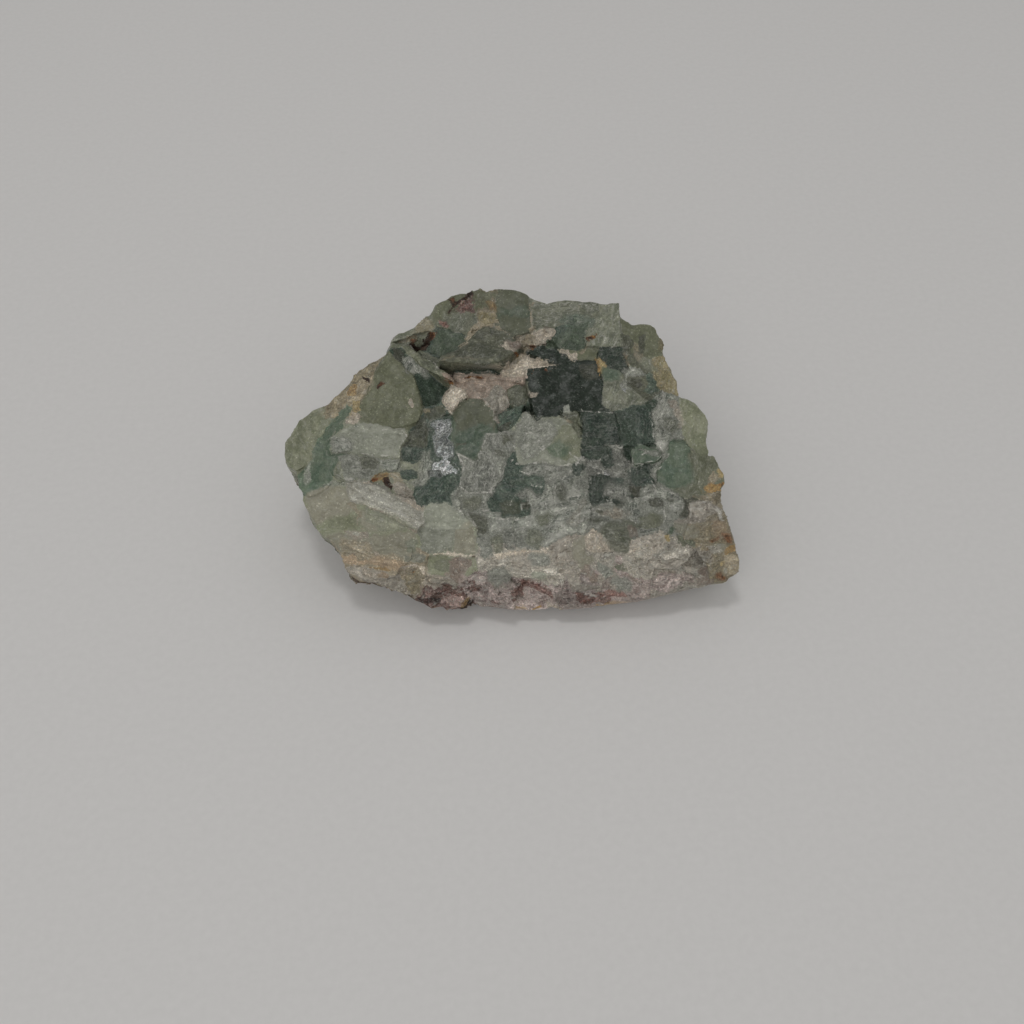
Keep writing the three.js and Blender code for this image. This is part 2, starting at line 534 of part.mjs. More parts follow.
// The whole stone's outline as a prism, square to the crystal face
function outlinePrism() {
  const shape = new THREE.Shape(OUTLINE.map(([u, v]) => new THREE.Vector2(u, v)));
  const prism = new THREE.ExtrudeGeometry(shape, { depth: 2 * CLEARANCE, bevelEnabled: false });
  prism.translate(0, 0, -CLEARANCE);
  prism.applyMatrix4(faceFrame);
  return solidOf(prism);
}

function everythingOverFloor() {
  const block = new THREE.BoxGeometry(4 * CLEARANCE, 4 * CLEARANCE, 2 * CLEARANCE);
  block.translate(0, 0, CLEARANCE);
  return solidOf(block);
}

// The rim lies on the crystal face, and below RIM_V on the band
function rimPoint([u, v]) {
  const slope = Math.tan(radians(BAND_TILT - FACE_TILT));
  const w = v < RIM_V ? (v - RIM_V) * slope : 0;
  return new THREE.Vector3(u, v, w).applyMatrix4(faceFrame);
}

const rimPoints = OUTLINE.map(rimPoint);

function fracturePlane({ facing, lean, drop }) {
  const outward = new THREE.Vector3(Math.cos(radians(facing)), Math.sin(radians(facing)), 0);
  const furthest = rimPoints.reduce((best, point) => (point.dot(outward) > best.dot(outward) ? point : best));
  const start = furthest.clone().setZ(furthest.z - drop);
  const normal = outward.clone().multiplyScalar(Math.cos(radians(lean))).setZ(-Math.sin(radians(lean)));
  return { start, normal };
}

const fracturePlanes = FRACTURES.map(fracturePlane);

function everythingBehind({ start, normal }) {
  const block = new THREE.BoxGeometry(4 * CLEARANCE, 4 * CLEARANCE, 2 * CLEARANCE);
  block.translate(0, 0, -CLEARANCE);
  const turn = new THREE.Quaternion().setFromUnitVectors(new THREE.Vector3(0, 0, 1), normal);
  block.applyQuaternion(turn);
  block.translate(...start.toArray());
  return solidOf(block);
}

// A value from -1 to 1 that looks random from one number to the next, different for each rate
function wobble(number, rate) {
  return Math.sin(number * rate);
}

// Where a level line from the stone's middle meets its broken sides
function sidePoint(direction, height) {
  const middle = new THREE.Vector3(...STONE_MIDDLE, height);
  const ways = fracturePlanes.map(({ start, normal }) => {
    const along = normal.dot(direction);
    return along > 0 ? start.clone().sub(middle).dot(normal) / along : Infinity;
  });
  return middle.addScaledVector(direction, Math.min(...ways));
}

// A cuboid crystal whose outer face stands a little out of the broken side
function blockSolid(number) {
  const share = number / (BLOCK_COUNT - 1);
  const angle = radians(THREE.MathUtils.lerp(...BLOCK_ARC, share));
  const outward = new THREE.Vector3(Math.cos(angle), Math.sin(angle), 0);
  const place = sidePoint(outward, BLOCK_HEIGHTS[number % BLOCK_HEIGHTS.length]);
  place.addScaledVector(outward, BLOCK_PROUD - BLOCK_SIZE / 2);
  const stretch = 1 + BLOCK_STRETCH * wobble(number, 1.7);
  const block = new THREE.BoxGeometry(BLOCK_SIZE, BLOCK_SIZE * stretch, BLOCK_SIZE * (2 - stretch));
  const turn = new THREE.Euler(
    BLOCK_TURN * wobble(number, 2.9),
    BLOCK_TURN * wobble(number, 4.3),
    angle + BLOCK_TURN * wobble(number, 3.7),
    "ZYX",
  );
  block.applyMatrix4(new THREE.Matrix4().makeRotationFromEuler(turn).setPosition(place));
  return solidOf(block);
}

function pitSolid([u, v, w, radius]) {
  const pit = new THREE.OctahedronGeometry(radius);
  pit.translate(u, v, w);
  pit.applyMatrix4(faceFrame);
  return solidOf(pit);
}

function specimenSolid() {
  const ground = everythingUnder(faceFrame, FACE_GROUND).intersect(everythingUnder(bandFrame, BAND_GROUND));
  let stone = ground;
  for (const crystal of Object.values(FACE_CRYSTALS)) {
    stone = stone.add(crystalSolid(crystal, FACE_ROOT, faceFrame, SIGHT_TILT));
  }
  for (const lump of Object.values(BAND_LUMPS)) {
    stone = stone.add(crystalSolid(lump, BAND_ROOT, bandFrame, 0));
  }
  for (const pit of PITS) {
    stone = stone.subtract(pitSolid(pit));
  }
  for (const plane of fracturePlanes) {
    stone = stone.intersect(everythingBehind(plane));
  }
  for (let number = 0; number < BLOCK_COUNT; number += 1) {
    stone = stone.add(blockSolid(number).intersect(ground));
  }
  return stone.intersect(outlinePrism()).intersect(everythingOverFloor());
}

function stoneMaterial() {
  return new THREE.MeshStandardMaterial({
    color: STONE_COLOUR,
    roughness: STONE_ROUGHNESS,
    metalness: 0,
    flatShading: true,
  });
}

const specimen = new THREE.Mesh(geometryOf(specimenSolid()), stoneMaterial());
specimen.name = "fluorite_specimen";

const group = new THREE.Group();
group.add(specimen);

export default group;
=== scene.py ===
# The looks of a fluorite specimen, a hand-sized lump of intergrown green crystals over a cream and lilac
# sugary band. Its solid becomes one fine mesh, broken up into cleavage steps and grains, and is coloured
# crystal by crystal and patch by patch.
import math
from collections import namedtuple

import bmesh
import bpy
import numpy as np
from mathutils import Matrix, Vector


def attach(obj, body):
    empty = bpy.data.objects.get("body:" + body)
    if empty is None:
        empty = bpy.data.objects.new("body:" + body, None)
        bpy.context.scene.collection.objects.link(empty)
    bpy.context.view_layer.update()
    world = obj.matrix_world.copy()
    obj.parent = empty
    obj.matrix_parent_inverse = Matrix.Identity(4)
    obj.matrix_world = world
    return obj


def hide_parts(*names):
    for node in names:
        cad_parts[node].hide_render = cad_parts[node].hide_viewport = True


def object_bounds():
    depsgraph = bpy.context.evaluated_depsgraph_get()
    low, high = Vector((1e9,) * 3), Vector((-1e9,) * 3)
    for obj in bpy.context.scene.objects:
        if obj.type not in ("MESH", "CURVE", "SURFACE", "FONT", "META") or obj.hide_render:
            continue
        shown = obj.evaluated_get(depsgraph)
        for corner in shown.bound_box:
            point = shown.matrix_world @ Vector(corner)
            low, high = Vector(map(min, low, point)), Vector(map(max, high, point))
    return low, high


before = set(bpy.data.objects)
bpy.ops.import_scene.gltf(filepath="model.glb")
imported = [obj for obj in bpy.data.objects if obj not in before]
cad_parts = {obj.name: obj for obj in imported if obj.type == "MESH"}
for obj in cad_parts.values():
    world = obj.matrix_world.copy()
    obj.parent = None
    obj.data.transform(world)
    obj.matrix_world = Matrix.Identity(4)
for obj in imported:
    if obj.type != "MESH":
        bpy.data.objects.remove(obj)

cad_box = [list(corner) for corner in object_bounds()]

NODE = "fluorite_specimen"
MM = 0.001
FAR = 1e9  # further than anything in the scene
TINY = 1e-9  # keeps a division away from zero

# The mesh, in millimetres
VOXEL = 0.285
WELD = 1e-4
FACING_DOWN = -0.25  # the underside's normals point down by more than this
UNDERSIDE_KEPT = 0.605  # the share of all triangles kept when the underside is thinned out
NORMAL_SMOOTHING = 3
LOOK_SMOOTHING = 8  # the weight of a point's own look among its neighbours'
SHARP_ANGLE = 28  # edges that turn by more than this, in degrees, are shaded as sharp
RELIEF_KEPT = 0.5  # how tall the crystals stay over the face's broad shape
RAGGED = ((2.6, 0.3), (1.1, 0.2))  # sizes and reaches of the wander of the crystals' edges
WANDER = ((2.2, 0.3), (1.0, 0.26), (0.5, 0.22))  # and of the edges of their colours

# The part's frames, in degrees and millimetres: the crystal face leans forwards, and bends down into the
# band along the rim. Crystals are prisms that reach down to a root, flare on the way, and point at a
# viewer in front.
FACE_TILT = 18
FACE_CENTRE = (0.1, 2.85, 19.6)
FACE_ROOT = -8
RIM_V = -21.4
BAND_TILT = 53.5
BAND_ROOT = -5
FLARE = 0.16
SIGHT_TILT = 19.5
SIGHT_DISTANCE = 190

# One crystal: its name, the height and the two slopes of its top, its look and how light it is, the
# direction of its streaks in degrees, and its outline
Crystal = namedtuple("Crystal", "name top slope_u slope_v look light angle outline")
# One patch of colour: its look and how light it is, how soft its edge is in millimetres, how strong it is,
# and its outline
Patch = namedtuple("Patch", "look light soft strength outline")


def outline(text):
    """A line of corners, written in tenths of a millimetre."""
    return np.array([corner.split(",") for corner in text.split()], float) / 10


def read_table(kind, table):
    """The crystals or patches of a table. Each has its words, a colon, and its outline."""
    rows = "\n".join(row for row in table.splitlines() if not row.startswith("#"))
    found = []
    for entry in rows.split(";")[:-1]:
        words, corners = entry.split(":")
        values = [word if word[0].isalpha() else float(word) for word in words.split()]
        found.append(kind(*values, outline(corners)))
    return found


# What each kind of surface looks like. First the two colours of its mottling, then the values of COLUMNS:
# frost is the share of pale crazing, speck_and_glint the share of white flecks and painted glints, grain the
# fine dark and light grit, rough the roughness, step the height of its cleavage steps in millimetres and
# cell their width, stretch how much longer they are along the streaks, iron the share of rusty stain, and
# plate how much its broken plates differ.
COLUMNS = ("frost", "speck_and_glint", "grain", "rough", "step", "cell", "stretch", "iron", "plate")
COLOURS = 6  # the numbers that the two colours take up
BRIGHTEST = 0.8  # no colour gets lighter than this
LOOKS = {
    "olive": (0.26, 0.27, 0.19, 0.19, 0.205, 0.135, 0.2, 0.15, 0.15, 0.3, 0.07, 3, 1.5, 0.05, 0.15),
    "moss": (0.175, 0.185, 0.12, 0.14, 0.15, 0.095, 0.05, 0.25, 0.2, 0.3, 0.03, 3, 1.2, 0.05, 0.05),
    "teal": (0.15, 0.19, 0.135, 0.1, 0.145, 0.1, 0.1, 0.15, 0.2, 0.28, 0.05, 2.5, 1.3, 0, 0.1),
    "deep_teal": (0.08, 0.105, 0.08, 0.04, 0.062, 0.047, 0.14, 0.25, 0.42, 0.25, 0.1, 1.6, 1.3, 0, 0.38),
    "night": (0.028, 0.041, 0.029, 0.017, 0.027, 0.018, 0.02, 0.7, 0.35, 0.26, 0.02, 1, 1, 0, 0.06),
    "dusk": (0.11, 0.115, 0.08, 0.07, 0.076, 0.053, 0.15, 0.25, 0.3, 0.32, 0.07, 2, 1.3, 0.05, 0.25),
    "grey_green": (0.26, 0.27, 0.2, 0.17, 0.185, 0.135, 0.35, 0.2, 0.2, 0.3, 0.1, 2.4, 1.8, 0.03, 0.25),
    "frosted": (0.3, 0.31, 0.265, 0.13, 0.145, 0.12, 0.7, 0.3, 0.4, 0.27, 0.18, 1.5, 1.6, 0, 0.55),
    "cream": (0.57, 0.51, 0.42, 0.4, 0.35, 0.28, 0.3, 0.4, 0.3, 0.38, 0.15, 1.2, 1.5, 0.06, 0.4),
    "taupe": (0.3, 0.25, 0.205, 0.23, 0.185, 0.15, 0.3, 0.3, 0.3, 0.45, 0.08, 1.6, 1, 0.05, 0.3),
    "tan": (0.33, 0.285, 0.195, 0.22, 0.195, 0.13, 0.25, 0.2, 0.35, 0.42, 0.15, 1.8, 1.3, 0.2, 0.35),
    "golden": (0.33, 0.285, 0.175, 0.23, 0.205, 0.115, 0.25, 0.2, 0.35, 0.36, 0.15, 1.8, 1.5, 0.25, 0.35),
    "beige": (0.4, 0.345, 0.25, 0.27, 0.235, 0.165, 0.3, 0.25, 0.35, 0.4, 0.15, 1.5, 1.8, 0.15, 0.35),
    "sugar": (0.5, 0.47, 0.405, 0.275, 0.256, 0.215, 0.45, 0.3, 0.28, 0.28, 0.26, 1.3, 1.2, 0.02, 0.45),
    "lilac": (0.47, 0.4, 0.37, 0.22, 0.175, 0.16, 0.4, 0.3, 0.3, 0.28, 0.28, 1.2, 1, 0.03, 0.5),
    "purple": (0.215, 0.13, 0.112, 0.107, 0.06, 0.047, 0.25, 0.3, 0.5, 0.35, 0.28, 1.1, 1, 0.2, 0.45),
    "rust": (0.2, 0.1, 0.05, 0.08, 0.036, 0.02, 0, 0.05, 0.6, 0.6, 0.15, 0.9, 1, 0.8, 0.4),
    "ochre": (0.46, 0.32, 0.14, 0.32, 0.2, 0.08, 0.1, 0.1, 0.4, 0.5, 0.12, 1, 1, 0.35, 0.3),
    "umber": (0.04, 0.024, 0.015, 0.018, 0.01, 0.007, 0, 0.02, 0.8, 0.6, 0.15, 0.9, 1, 0.1, 0.4),
    "sand": (0.315, 0.305, 0.235, 0.265, 0.255, 0.195, 0.15, 0.2, 0.12, 0.34, 0.05, 2.5, 1.4, 0.04, 0.12),
    "greige": (0.4, 0.37, 0.316, 0.26, 0.236, 0.199, 0.3, 0.25, 0.22, 0.3, 0.24, 1.4, 1.3, 0.02, 0.35),
    "mauve": (0.355, 0.297, 0.27, 0.205, 0.167, 0.151, 0.3, 0.25, 0.25, 0.3, 0.26, 1.2, 1.2, 0.03, 0.42),
    "peach": (0.5, 0.385, 0.26, 0.38, 0.29, 0.195, 0.15, 0.3, 0.25, 0.4, 0.1, 1.6, 1.6, 0.08, 0.3),
    "blush": (0.42, 0.345, 0.285, 0.29, 0.235, 0.19, 0.2, 0.25, 0.25, 0.38, 0.12, 1.4, 1.4, 0.06, 0.4),
    "rose": (0.45, 0.335, 0.3, 0.245, 0.165, 0.142, 0.3, 0.3, 0.3, 0.28, 0.28, 1.2, 1, 0.08, 0.5),
    "leaf": (0.135, 0.145, 0.098, 0.105, 0.116, 0.078, 0.03, 0.15, 0.12, 0.3, 0.03, 3, 1.2, 0, 0.05),
    "bottle": (0.085, 0.11, 0.075, 0.052, 0.074, 0.048, 0.1, 0.2, 0.35, 0.28, 0.06, 2, 1.2, 0, 0.15),
    "mist": (0.225, 0.232, 0.2, 0.155, 0.163, 0.138, 0.45, 0.25, 0.35, 0.3, 0.08, 1.6, 1.4, 0, 0.4),
    "pale_green": (0.25, 0.26, 0.212, 0.185, 0.195, 0.155, 0.2, 0.15, 0.15, 0.3, 0.06, 2.4, 1.8, 0, 0.15),
    # pale white, for white marks and for painted highlights
    "bright": (0.46, 0.455, 0.39, 0.3, 0.29, 0.235, 0.5, 0.4, 0.25, 0.26, 0.12, 1.4, 2.4, 0, 0.3),
    # a painted sheen: pale and bluish, where the lamp's light shines off the glinting crystal
    "sheen": (0.27, 0.29, 0.285, 0.115, 0.127, 0.122, 0.4, 0.6, 0.7, 0.16, 0.12, 1, 1.6, 0, 0.6),
    # painted glints: white, where the lamp shines back off the crystals
    "glint": (0.8, 0.8, 0.8, 0.24, 0.27, 0.27, 0.4, 0.8, 0.9, 0.14, 0.15, 0.7, 1.4, 0, 0.8),
    "straw": (0.46, 0.37, 0.19, 0.3, 0.235, 0.12, 0.15, 0.3, 0.4, 0.4, 0.1, 1, 1, 0.1, 0.4),
    # the dark brown under the stone: its brown underside, with painted shade in it
    "crust": (0.19, 0.14, 0.09, 0.1, 0.07, 0.045, 0.1, 0.1, 0.8, 0.6, 0.22, 1.6, 1, 0.5, 0.5),
}

# The crystals of the face, in the face's own frame
# shaded_face faces away from the light: its dark night look is painted shade
FACE_CRYSTALS = read_table(Crystal, """
left_lobe -0.9 0.3 -0.1 olive 1 -70: -356,-50 -340,-20 -309,14 -292,14 -290,-10 -305,-40 -310,-80 -333,-98
 -352,-87;
teal_strip -0.2 0.2 -0.1 teal 1.19 -75: -290,-14 -261,-12 -280,-45 -284,-70 -275,-110 -285,-130 -310,-142
 -330,-120 -310,-80 -305,-40;
tan_rim -0.6 0.14 -0.15 tan 1 40: -293,14 -270,34 -249,64 -224,80 -194,106 -207,75 -220,40 -235,5 -240,-17
 -261,-12 -290,-12;
triangle 2.1 0.08 0.1 moss 1 60: -192,103 -170,80 -152,64 -141,30 -136,0 -143,-20 -160,-28 -185,-30 -215,-22
 -240,-17 -235,5 -220,40 -207,75;
shaded_face 0.4 -0.45 0.1 night 2.07 60: -189,109 -172,111 -155,95 -130,74 -110,57 -88,43 -105,15 -136,0
 -141,30 -152,64 -170,80 -192,103;
ridge_plate 1.5 -0.25 -0.2 dusk 2.02 -40: -182,121 -154,109 -124,86 -97,63 -84,46 -110,57 -130,74 -155,95
 -172,111 -189,109;
back_left_strip -0.5 0.25 -0.25 grey_green 1 35: -191,115 -183,136 -149,153 -121,179 -111,191 -97,165
 -115,148 -128,139 -150,137 -172,126 -182,121;
purple_crust 0.1 0.15 -0.2 moss 0.84 20: -111,191 -88,207 -55,217 -44,216 -45,185 -52,168 -75,172 -97,165;
back_knob 0.4 0.1 0.05 tan 0.68 70: -44,216 -30,214 -9,213 -14,185 -19,160 -19,141 -36,140 -50,138 -52,168
 -45,185;
small_teal -0.5 0.05 0.3 deep_teal 1.06 30: -125,126 -115,148 -90,142 -70,136 -64,126 -70,113 -86,99 -105,96
 -125,100;
grey_green 0.6 -0.1 0.1 dusk 1.58 60: -115,148 -97,165 -75,172 -52,168 -48,152 -64,126 -70,136 -90,142;
shelf 1.9 -0.03 -0.08 dusk 1.12 0: -86,99 -70,113 -64,126 -55,134 -36,141 -15,140 9,129 24,114 16,95 -5,79
 -40,76 -80,77 -109,84 -105,96;
pocket_ledge -1.05 0 -0.05 blush 1.46 0: -92,54 -85,62 -10,61 36,53 33,44 -8,51 -80,50;
cream_lip -0.4 0.1 0.2 cream 0.93 0: -8,61 -5,79 16,95 37,90 60,81 80,72 45,69 30,60 36,53;
cream_lump -1 0.3 0.2 cream 1.18 30: -104,16 -90,42 -74,36 -62,20 -78,8 -90,-8;
round_top 1.6 0.08 0.12 teal 0.82 60: -78,8 -65,16 -52,20 -40,19 -30,10 -23,-10 -15,-45 -34,-47 -40,-65
 -46,-83 -60,-87 -76,-77 -85,-60 -89,-30 -88,-9;
dull_slope 0.1 0.15 0.2 deep_teal 1.2 60: -136,0 -105,15 -90,-8 -122,-20 -130,-40 -130,-90 -140,-93 -166,-90
 -172,-80 -170,-65 -154,-43 -160,-28 -143,-20;
glinting 0.7 0 0 deep_teal 1.18 60: -122,-20 -90,-8 -89,-30 -85,-60 -76,-77 -71,-100 -80,-133 -80,-150
 -90,-160 -130,-164 -148,-155 -144,-130 -130,-116 -130,-90 -130,-40;
small_dark -0.4 0.25 0.1 deep_teal 1.52 70: 1,34 15,42 32,30 39,2 26,6 5,-1 -2,10;
small_dark_front 0 -0.2 0.25 deep_teal 1.24 40: -20,-14 5,-1 26,6 20,-13 0,-44 -15,-45;
big_dark 1.7 -0.05 0.12 night 0.83 30: 30,60 45,69 80,72 104,80 146,79 150,50 149,10 159,-4 120,-11 90,-12
 60,-17 47,-29 40,0 32,30;
dark_olive 0.9 -0.1 0.3 night 0.92 0: 37,90 40,107 63,112 83,100 103,90 104,80 80,72 60,81;
back_crystal 0.6 -0.1 0.02 dusk 1.34 85: -9,213 10,214 42,198 42,160 38,136 25,130 9,129 -15,140 -19,160
 -14,185;
back_right_block 0.4 0.03 0.1 grey_green 0.81 0: 42,198 68,186 152,183 148,145 128,137 90,146 50,142 38,136
 42,160;
back_right_dark -0.3 0.05 0.3 deep_teal 1.09 60: 80,140 90,146 128,137 130,120 125,106 112,95 83,100 75,125;
back_right_pale 0.8 0.12 -0.1 grey_green 1 70: 152,183 188,179 186,130 192,104 165,106 125,106 134,136
 148,145;
cream_saddle -0.8 0 0.2 cream 0.83 20: 38,136 50,142 80,140 75,125 63,112 40,107 24,114 9,129 25,130;
cream_wedge -0.7 0 0 moss 1.08 0: 83,100 112,95 125,106 149,99 146,79 104,80 103,90;
back_right_edge -0.4 -0.14 -0.1 moss 1 75: 187,156 228,148 246,140 258,107 254,89 230,76 210,90 196,86
 192,104 186,130;
golden_edge -0.6 -0.2 -0.05 golden 1 70: 254,89 271,56 276,38 276,11 246,26 234,50 230,76;
teal_grey 0.2 -0.1 0.25 deep_teal 0.58 30: 149,99 165,106 192,104 196,86 198,60 187,52 164,70 146,79;
pale_plate 1.1 0.15 -0.12 grey_green 0.88 60: 150,50 146,79 164,70 187,52 192,36 226,4 200,0 170,-8 159,-4
 149,10;
dusk_plate -0.1 -0.15 0.15 dusk 1.3 30: 192,36 187,52 198,60 196,86 210,90 230,76 234,50 246,26 226,4;
right_lobe -0.6 -0.35 -0.05 olive 1.2 70: 274,13 288,12 315,-14 322,-30 314,-60 315,-85 300,-90 282,-73
 275,-45 273,-10;
right_frosted 0.1 -0.12 0.1 frosted 0.91 60: 222,-14 226,4 246,26 274,13 273,-10 275,-45 273,-62 255,-60
 229,-62 228,-40;
dark_block_left 0.4 -0.12 0.2 deep_teal 0.78 0: 120,-11 159,-4 172,-8 176,-35 178,-69 152,-70 114,-70
 117,-40 109,-25;
dark_block_right 1.1 -0.1 0.15 deep_teal 1.12 90: 172,-8 200,0 226,3 228,-40 229,-62 208,-69 178,-69
 176,-35;
dark_step -0.3 0 0.2 deep_teal 0.31 0: 114,-70 152,-70 160,-92 140,-94 116,-89;
pale_fracture -0.1 0.1 0.25 frosted 0.58 -15: 152,-70 178,-69 176,-85 188,-105 180,-125 122,-120 115,-105
 116,-89 160,-92;
dark_groove -1 0 0 night 0.4 80: 178,-69 208,-69 193,-75 194,-99 188,-105 176,-85;
small_green 0.6 0 0.15 teal 0.87 30: 193,-75 208,-69 230,-76 238,-90 225,-100 194,-99;
frosted_gap -0.5 0 0.1 frosted 1 60: 225,-100 238,-90 230,-76 229,-62 255,-60 250,-90 235,-105 230,-130
 220,-122 188,-105 194,-99;
right_teal 1.4 0.12 0.15 teal 0.9 80: 255,-60 273,-62 286,-76 286,-120 274,-159 265,-158 245,-140 230,-130
 235,-105 250,-90;
right_olive 0.5 -0.4 0.08 olive 0.79 70: 286,-76 300,-90 321,-90 336,-121 326,-144 300,-153 274,-159
 286,-120;
pale_left 1.5 0.1 0.18 grey_green 1.22 30: 0,-44 20,-13 30,-7 47,-29 56,-50 72,-70 82,-99 40,-98 15,-92
 8,-62;
pale_right 1.5 -0.28 0.03 grey_green 1.2 40: 47,-29 60,-17 80,-15 98,-28 108,-50 115,-65 115,-87 100,-98
 82,-99 72,-70 56,-50;
dark_cleft -0.8 0 0 dusk 1.83 80: 80,-15 90,-12 120,-11 109,-25 117,-40 115,-65 108,-50 98,-28;
frosted_plate 1 -0.08 0.12 frosted 0.92 80: -34,-47 -15,-45 0,-44 8,-62 -8,-102 -17,-133 -30,-145 -55,-144
 -80,-133 -71,-100 -76,-77 -60,-87 -46,-83 -40,-65;
dark_teal 0 0.2 0.15 deep_teal 1.2 -20: -8,-102 8,-62 15,-92 40,-98 52,-104 55,-125 32,-140 28,-176 5,-186
 -10,-186 -30,-145 -17,-133;
streaked 0.4 -0.06 0.12 frosted 0.96 20: 52,-104 82,-99 100,-98 115,-87 115,-105 122,-120 120,-150 124,-163
 70,-170 28,-176 32,-140 55,-125;
dark_steps -0.7 0 0.15 deep_teal 0.91 80: 122,-120 180,-125 188,-105 220,-122 226,-145 200,-158 165,-152
 124,-163 120,-150;
front_streaked -0.1 0.04 0.3 frosted 1.13 25: 28,-176 70,-170 124,-163 122,-190 110,-220 80,-242 10,-236
 5,-186;
mottled_dark -1 0 0.24 frosted 0.99 0: -80,-150 -80,-133 -55,-144 -30,-145 -10,-186 5,-186 10,-236 -48,-238
 -46,-224 -55,-202 -78,-170;
frosted_bar 1 -0.08 0.05 grey_green 1.24 -12: -261,-12 -240,-17 -215,-22 -185,-30 -160,-28 -154,-43 -170,-65
 -172,-80 -250,-69 -284,-70 -280,-45;
green_bar 0 0.05 0.12 grey_green 1.09 -12: -284,-70 -250,-69 -172,-80 -174,-100 -200,-105 -215,-120
 -253,-120 -275,-110;
broken_gap -0.8 0.05 0.1 grey_green 1.21 -20: -172,-80 -166,-90 -130,-90 -130,-116 -144,-130 -148,-155
 -180,-140 -215,-120 -200,-105 -174,-100;
cream_bar 0.9 -0.05 -0.12 cream 0.8 -25: -253,-120 -215,-120 -180,-140 -148,-155 -130,-164 -132,-190
 -145,-200 -200,-167 -245,-150;
left_olive -0.5 0.2 0.2 olive 1.28 -20: -310,-142 -285,-130 -275,-110 -253,-120 -245,-150 -220,-165
 -227,-180 -250,-204 -280,-209 -309,-182 -322,-150;
front_olive -0.4 0.04 0.3 olive 1.2 -20: -245,-150 -200,-167 -145,-200 -135,-220 -138,-234 -220,-236
 -250,-204 -227,-180 -220,-165;
trapezoid -0.3 0.02 0.34 grey_green 1.57 0: -130,-164 -90,-160 -80,-150 -78,-170 -55,-202 -46,-224 -56,-246
 -124,-242 -135,-220 -132,-190;
mottled_grey -0.6 0.01 0.24 frosted 0.85 -10: 124,-163 165,-152 200,-158 226,-145 230,-130 245,-140 265,-158
 276,-168 275,-190 260,-230 180,-244 110,-220 122,-190;
corner_crystal 0.1 -0.2 0.22 beige 0.81 20: 276,-168 274,-159 300,-153 326,-144 330,-170 340,-190 340,-230
 260,-230 275,-190;
""")

# The lumps of the band, in the band's own frame
BAND_LUMPS = read_table(Crystal, """
left_beige 0.3 0.12 -0.12 beige 1.08 -20: -266,-10 -220,-12 -152,-16 -156,-30 -180,-60 -220,-72 -250,-60;
left_streak -0.2 0.1 0 beige 0.99 -20: -152,-16 -129,-18 -130,-75 -146,-96 -184,-94 -220,-72 -180,-60
 -156,-30;
olive_brown -0.5 0.05 -0.14 olive 1.39 0: -130,-18 -48,-18 -54,-34 -50,-62 -66,-80 -130,-75;
pink_lump 0.7 0 0.15 purple 0.78 20: -146,-96 -130,-75 -66,-80 -60,-102 -78,-122 -120,-124 -155,-106;
white_left 0.3 0.08 -0.1 sugar 1.1 20: -48,-18 10,-22 22,-38 -10,-64 -50,-62 -54,-34;
white_middle 0.7 0.06 -0.2 sugar 1.28 20: 10,-22 76,-28 86,-30 70,-65 20,-68 -10,-64 22,-38;
cream_right 0.4 -0.12 -0.16 sugar 1.09 40: 76,-28 110,-6 132,-10 142,-32 120,-62 70,-65 86,-30;
lilac_left 0.5 0.04 -0.12 lilac 1.01 0: -50,-62 -10,-64 10,-80 4,-126 -25,-114 -60,-102 -66,-80;
lilac_middle -0.2 0.1 0.1 lilac 1.3 -30: -10,-64 20,-68 70,-65 80,-90 72,-129 4,-126 10,-80;
lilac_right 0.6 -0.06 0.06 lilac 0.83 0: 70,-65 120,-62 146,-80 134,-121 72,-129 80,-90;
grey_step -0.2 0.05 -0.1 sugar 1.16 0: 132,-10 180,-22 202,-16 206,-40 142,-38;
grey_lilac 0.7 0.05 0.02 lilac 1.3 15: 142,-38 206,-40 220,-60 206,-111 134,-121 146,-80 120,-62;
grey_top 0.3 -0.05 -0.16 sugar 0.99 15: 202,-16 266,-12 286,-30 260,-60 220,-60 206,-40;
grey_foot 0 -0.08 -0.06 sugar 0.87 15: 220,-60 260,-60 300,-50 310,-90 277,-96 206,-111;
stained_end 0.1 -0.12 0 tan 0.89 30: 266,-12 340,16 346,-27 356,-48 354,-70 310,-90 300,-50 286,-30;
""")
